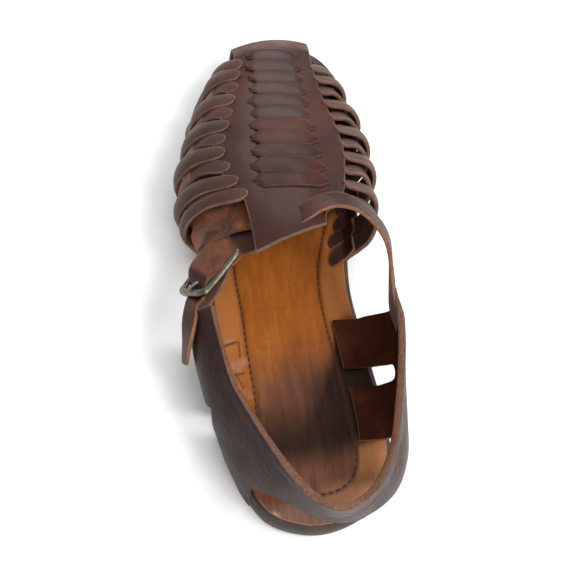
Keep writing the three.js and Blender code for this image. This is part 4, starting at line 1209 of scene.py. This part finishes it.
def build_strips(side, name):
    skin = Skin()
    tip_steps = 1 - TIP_ROUND * (1 - np.sin(np.linspace(0, math.pi / 2, STRIP_TIP_ROWS)))
    along = np.concatenate([np.linspace(0, 1 - TIP_ROUND, STRIP_ROWS)[:-1], tip_steps])
    shares = np.meshgrid(along, np.linspace(-1, 1, STRIP_COLUMNS) * -side, indexing="ij")
    for number, row in enumerate(STRIPS):
        leaf = number in LEAVES
        shift = rng.normal(0, STRIP_SHIFT)
        shape = row if side < 0 else np.multiply(row, INNER_SHARES)
        base = strip_surface(shape, side, *shares, shift, leaf)
        plate_from(skin, base, LEATHER, False, raw=along < (LEAF_RAW_SHARE if leaf else 0))
    return skin.make(name, [STRIP_GRAIN, CUT_EDGE, FLESH_SIDE if side < 0 else STRIP_INSIDE_SHADED])


def build_strip_ends():
    """Ends of strips that turn in from the wall and lie on the insole."""
    skin = Skin()
    along, across = np.meshgrid(np.linspace(0, 1, TAB_ROWS), np.linspace(1, -1, TAB_COLUMNS), indexing="ij")
    rounding = np.maximum((along - 1 + TAB_ROUND) / TAB_ROUND, 0)
    narrow = np.sqrt(np.maximum(1 - TIP_TAPER * rounding**2, 0))
    rise = TAB_LIFT + TAB_RISE * np.maximum(1 - along / TAB_BEND, 0) ** 2
    for tip_x, tip_y, wide in TABS:
        wall = sole_edges(tip_y + TAB_BACK)[1]
        y = tip_y + TAB_BACK * (1 - along) + across * wide / 2 * narrow
        base = np.stack([mix(wall, tip_x, along), y, insole_top(y) + rise], axis=-1)
        plate_from(skin, base, FOLD_LEATHER, False)
    return skin.make("inner_strip_ends", [STRAP_GRAIN, BAND_EDGE, STRIP_INSIDE_SHADED])


def build_braid(bars, name, leather):
    """Bars across the panel, pointed at both ends where they dive into it."""
    skin = Skin()
    across = np.sin(np.linspace(-math.pi / 2, math.pi / 2, BAR_COLUMNS))[None, :]
    along = np.linspace(-1, 1, BAR_ROWS)[:, None]
    ends = np.clip((np.abs(across) - 1 + BAR_POINT) / BAR_POINT, 0, 1)
    half = BAR_WIDE / 2 * (1 - BAR_TAPER * ends)
    for s in bars:
        left = bar_end(s, LAT) + BAR_OVER[0] + rng.normal(0, BAR_END_SPREAD)
        right = bar_end(s, MED) + BAR_OVER[1] + rng.normal(0, BAR_END_SPREAD)
        base = vamp_top(s + rng.normal(0, BAR_SHIFT) + along * half, mix(left, right, (across + 1) / 2))
        sag = BAR_SAG * rng.normal() * (across - BAR_SAG_MIDDLE) ** 2
        base[..., 2] += BAR_LIFT + BAR_CROWN * (1 - along**2) - BAR_END_DROP * ends + sag
        plate_from(skin, base, LEATHER, True)
    return skin.make(name, [leather, BRAID_EDGE_SHADED, FLESH_SIDE])


def smooth_outline(points, straight_below):
    """Outline with rounded corners; its legs below a height stay straight."""
    dense = []
    count = len(points)
    for k in range(count):
        a, b, c, d = (np.array(points[(k + j - 1) % count], float) for j in range(4))
        straight = min(b[1], c[1]) < straight_below
        for t in np.arange(OUTLINE_STEPS) / OUTLINE_STEPS:
            dense.append(mix(b, c, t) if straight else spline(a, b, c, d, t))
    return np.array(dense)


def band_tool(name, cuts):
    """Prisms through the outlines of some openings, to cut the band with."""
    skin = Skin()
    for points, near, far, axis, straight_below in cuts:
        dense = smooth_outline(points, straight_below)
        skin.caps(skin.rings([np.insert(dense, axis, depth, axis=1) for depth in (near, far)], EDGE), EDGE)
    return skin.make(name, BAND_SET)


def weld(mesh):
    """Join points that lie on each other, and drop the slivers without width that a cut leaves."""
    work = bmesh.new()
    work.from_mesh(mesh)
    bmesh.ops.triangulate(work, faces=work.faces)
    bmesh.ops.remove_doubles(work, verts=work.verts, dist=WELD_GAP)
    bmesh.ops.dissolve_degenerate(work, edges=work.edges, dist=WELD_GAP)
    seen = {}
    for face in work.faces:
        seen.setdefault(frozenset(face.verts), []).append(face)
    folded = [face for faces in seen.values() if len(faces) > 1 for face in faces]
    bmesh.ops.delete(work, geom=folded, context="FACES")
    work.to_mesh(mesh)
    work.free()


def build_band():
    t, level = np.meshgrid(np.linspace(0, 1, BAND_ROWS), np.linspace(0, 1, BAND_COLUMNS), indexing="ij")
    base = band_point(t, level)
    roll = RIM_ROLL * smooth_step(*RIM_ROLL_RISE, level) / 2
    merge = mix(1.0, mix(MERGE_THIN, 1.0, smooth_step(*MERGE_RUN, t)), smooth_step(*MERGE_LEVELS, level))
    outwards = -grid_normals(base)
    skin = Skin()
    grain = base + outwards * ((LEATHER + roll) * merge)[..., None]
    add_plate(skin, grain, base - outwards * roll[..., None])
    band = skin.make("heel_band", BAND_SET)
    tools = [band_tool("band_cuts", CUTS), band_tool("heel_cut", [INNER_HEEL_CUT])]
    for tool in tools:
        modifier = band.modifiers.new("openings", "BOOLEAN")
        modifier.operation = "DIFFERENCE"
        modifier.solver = "EXACT"
        modifier.object = tool
    depsgraph = bpy.context.evaluated_depsgraph_get()
    cut = bpy.data.meshes.new_from_object(band.evaluated_get(depsgraph))
    band.modifiers.clear()
    band.data = cut
    weld(cut)
    finish_mesh(cut, sharp=45)
    for tool in tools:
        bpy.data.objects.remove(tool)
    return band


# Straps

def edges_on_band(places):
    """Rear and front edges of a strap where it leaves the heel band."""
    return [[band_point(t, level) for t in places] for level in (BAND_STRAP_TOP, BAND_STRAP_LOW)]


def ribbon(first, second, size):
    """Grid of points between two edges, and its shares along and across."""
    along = np.linspace(0, 1, size[0])
    across = np.linspace(0, 1, size[1])[None, :, None]
    grid = mix(open_curve(first, along)[:, None, :], open_curve(second, along)[:, None, :], across)
    return grid, along[:, None, None], across


def build_strap():
    rear, front = edges_on_band(STRAP_START)
    for rear_point, front_point in STRAP:
        rear.append(np.array(rear_point))
        front.append(np.array(front_point))
    for rear_point, front_point in STRAP_IN_BUCKLE:
        rear.append(in_buckle(*rear_point))
        front.append(in_buckle(*front_point))
    for point, line, share in zip(TAIL, TAIL_LINES, TAIL_SHARES):
        half_wide = unit(np.array(line)) * STRAP_WIDE * share
        rear.append(np.array(point) - half_wide)
        front.append(np.array(point) + half_wide)
    base, along, across = ribbon(front, rear, STRAP_GRID)
    rise = STRAP_CROWN * 4 * across * (1 - across) + STRAP_LIP * smooth_step(*STRAP_LIP_RISE, across)
    base = base + frame_above * hump(STRAP_CROWN_RISE, STRAP_CROWN_FALL, along) * rise
    thick = STRAP_LEATHER * mix(STRAP_ROOT_THIN, 1.0, smooth_step(*STRAP_ROOT, along))
    rubbed = np.broadcast_to(hump(STRAP_RUB_RISE, STRAP_RUB_FALL, along)[..., 0], STRAP_GRID)
    skin = Skin()
    plate_from(skin, base, thick, False, wear=rubbed)
    return skin.make("instep_strap", [STRAP_GRAIN, STRAP_EDGE, STRAP_INSIDE])


def build_anchor():
    half_wide = STRAP_WIDE / 2
    rows = list(ANCHOR_RUN)
    for turn in np.radians(FOLD_TURNS):
        rows.append((FRAME_LONG + FOLD_RADIUS * math.cos(turn), FOLD_RADIUS * math.sin(turn), -half_wide))
    rows.append((*ANCHOR_END, -half_wide))
    rear, front = edges_on_band(ANCHOR_START)
    for along, above, rear_at in rows:
        rear.append(in_buckle(along, rear_at, above))
        front.append(in_buckle(along, half_wide, above))
    skin = Skin()
    plate_from(skin, ribbon(rear, front, ANCHOR_GRID)[0], FOLD_LEATHER, True)
    return skin.make("anchor_strap", LEATHER_SET)


def build_lining():
    """Creased lining inside the outer side, behind the last strips."""
    turn = np.linspace(*LINING_TURNS, LINING_ROWS)[:, None]
    share = np.linspace(0, 1, LINING_COLUMNS)[None, :]
    rear = mix(LINING_LOW, LINING_FROM, smooth_step(*LINING_SLANT, turn))
    rear = rear + LINING_WAVE * np.sin(turn * LINING_WAVES)
    base = vamp_side(mix(rear, LINING_TO, share), -1, turn)
    inwards = grid_normals(base)
    inwards *= np.where(inwards[..., :1] < 0, -1, 1)
    turns, lengths, bends = LONG_FOLD_WAVES
    long_fold = LONG_FOLD * np.abs(np.sin(turn * turns + share * lengths + np.sin(share * bends)))
    turns, lengths, bends = CROSS_FOLD_WAVES
    sway = CROSS_FOLD_SWAY * np.sin(turn * bends)
    cross_fold = CROSS_FOLD * np.abs(np.sin(share * lengths + turn * turns + sway))
    fold = long_fold * (1 - LONG_FOLD_FADE * share) + cross_fold
    base = base + inwards * (LEATHER + LINING_GAP + fold)[..., None]
    skin = Skin()
    add_plate(skin, base, base + inwards * LINING_THICK)
    return skin.make("outer_lining", [LINING, LINING, LINING])


# Buckle

def build_buckle():
    half = FRAME_WIDE / 2
    corners = []
    for end, way in ((0, -1), (0, 1), (1, 1), (1, -1)):
        at = FRAME_LONG * end
        inwards = FRAME_CORNER * (1 - 2 * end)
        corner = [
            in_buckle(at, way * (half - FRAME_CORNER), 0),
            in_buckle(at + inwards * CORNER_SHARE, way * (half - FRAME_CORNER * CORNER_SHARE), 0),
            in_buckle(at + inwards, way * half, 0),
        ]
        corners += corner if (end == 0) == (way > 0) else reversed(corner)
    path = closed_curve(corners, FRAME_SAMPLES)
    along = (path - FREE_BAR) @ frame_along
    across = (path - FREE_BAR) @ frame_bar
    slip = (FRAME_SLIP - FRAME_SHEAR * across) * (1 - np.clip(along / FRAME_LONG, 0, 1))
    radii = mix(FREE_BAR_RADIUS, WIRE_RADIUS, smooth_step(*FREE_BAR_TO, along))
    skin = Skin()
    tube(skin, path + slip[:, None] * frame_along, radii, True, sides=16, flat=WIRE_FLAT)
    return skin.make("buckle_frame_wire", [BRASS], sharp=80)


def build_prong():
    share = np.linspace(0, 1, PRONG_SAMPLES)
    path = open_curve([in_buckle(along, 0, above) for along, above in PRONG], share)
    radii = PRONG_RADIUS * (1 - PRONG_TAPER * smooth_step(*PRONG_TAPER_RUN, share))
    skin = Skin()
    tube(skin, path, radii, False, sides=14)
    return skin.make("buckle_prong_wire", [BRASS], sharp=80)


# Pieces, the nodes that they stand for and the slots of their finish
pieces = [
    (build_sole(), "outsole", "sole_rubber"),
    (build_insole(), "insole", "insole_leather"),
    (build_stitches(), "insole", "insole_leather"),
    (build_panel(), "upper", "upper_leather"),
    (build_strips(-1, "outer_side_strips"), "upper", "upper_leather"),
    (build_strips(1, "inner_side_strips"), "upper", "upper_leather"),
    (build_strip_ends(), "upper", "upper_leather"),
    (build_braid(BARS[:RED_BARS], "instep_braid", RED_BRAID), "upper", "upper_leather"),
    (build_braid(BARS[RED_BARS:], "toe_braid", TOE_BRAID), "upper", "upper_leather"),
    (build_lining(), "upper", "upper_leather"),
    (build_band(), "upper", "upper_leather"),
    (build_strap(), "upper", "upper_leather"),
    (build_anchor(), "upper", "upper_leather"),
    (build_buckle(), "buckle_frame", "buckle_metal"),
    (build_prong(), "buckle_prong", "buckle_metal"),
]
for piece, node, slot in pieces:
    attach(piece, "root")
    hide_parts(node)


# Floor, light and camera

FLOOR_HALF = 8.0
floor_corners = [(x * FLOOR_HALF, y * FLOOR_HALF, 0) for x, y in ((-1, -1), (1, -1), (1, 1), (-1, 1))]
floor_mesh = bpy.data.meshes.new("floor")
floor_mesh.from_pydata(floor_corners, [], [(0, 1, 2, 3)])
floor_mesh.materials.append(pale_floor("floor_pale"))
floor = add_object("floor", floor_mesh)

# The room is a little brighter on the inner side of the foot than on the outer one
ROOM = {"From Min": -0.9, "From Max": 0.6, "To Min": 0.56, "To Max": 0.72}
world = bpy.data.worlds.new("studio")
world.use_nodes = True
room_nodes = world.node_tree.nodes
background = room_nodes["Background"]
direction = room_nodes.new("ShaderNodeTexCoord")
split = room_nodes.new("ShaderNodeSeparateXYZ")
strength = room_nodes.new("ShaderNodeMapRange")
for socket, value in ROOM.items():
    strength.inputs[socket].default_value = value
world.node_tree.links.new(direction.outputs["Generated"], split.inputs["Vector"])
world.node_tree.links.new(split.outputs["X"], strength.inputs["Value"])
world.node_tree.links.new(strength.outputs["Result"], background.inputs["Strength"])
background.inputs["Color"].default_value = (1.0, 1.0, 1.0, 1)
bpy.context.scene.world = world
bpy.context.scene.view_settings.view_transform = "Standard"

# Lights: name, place, target, size, power, colour
LIGHTS = [
    ("key", (0.5, -0.35, 1.05), (0, 0, 0.03), 0.4, 6.2, (1.0, 0.97, 0.94)),
    ("overhead", (0.25, -0.1, 1.4), (0, 0, 0), 1.4, 5.0, (1.0, 1.0, 1.0)),
    ("toe_light", (0.1, 1.1, 0.7), (0, 0.05, 0.03), 0.8, 6.6, (0.98, 0.99, 1.0)),
    ("heel_light", (0.35, -0.9, 0.5), (0, -0.14, 0.03), 0.5, 5.5, (1.0, 1.0, 1.0)),
]
for name, place, target, size, power, colour in LIGHTS:
    light = bpy.data.lights.new(name, "AREA")
    light.shape = "DISK"
    light.size = size
    light.energy = power
    light.color = colour
    lamp = add_object(name, light)
    lamp.location = place
    lamp.rotation_euler = (Vector(target) - Vector(place)).to_track_quat("-Z", "Y").to_euler()

# Camera: the photo's viewpoint and roll, turned to the middle of the shoe
CAMERA_PLACE = np.array([-73.738, -74.923, 397.835])
CAMERA_AHEAD = np.array([0.27051669, 0.46164691, -0.84480935])
CAMERA_RIGHT = np.array([0.96241003, -0.15177523, 0.22523592])
CAMERA_UP = np.array([0.02424166, 0.87398307, 0.48535135])
PHOTO_SIDE = 580.0
PHOTO_FOCAL = 739.961
AIM_X = 209.0
AIM_Y = 309.0
ZOOM = 1.14

half_side = PHOTO_SIDE / 2
aim = CAMERA_AHEAD * PHOTO_FOCAL + CAMERA_RIGHT * (AIM_X - half_side) + CAMERA_UP * (half_side - AIM_Y)
swing = Vector(CAMERA_AHEAD).rotation_difference(Vector(aim)).to_matrix()
basis = Matrix((CAMERA_RIGHT, CAMERA_UP, -CAMERA_AHEAD)).transposed()
camera_data = bpy.data.cameras.new("camera")
camera_data.sensor_width = 36.0
camera_data.lens = PHOTO_FOCAL * ZOOM / PHOTO_SIDE * camera_data.sensor_width
camera = add_object("camera", camera_data)
camera.matrix_world = Matrix.Translation(Vector((CAMERA_PLACE - ORIGIN) * METRE)) @ (swing @ basis).to_4x4()
bpy.context.scene.camera = camera
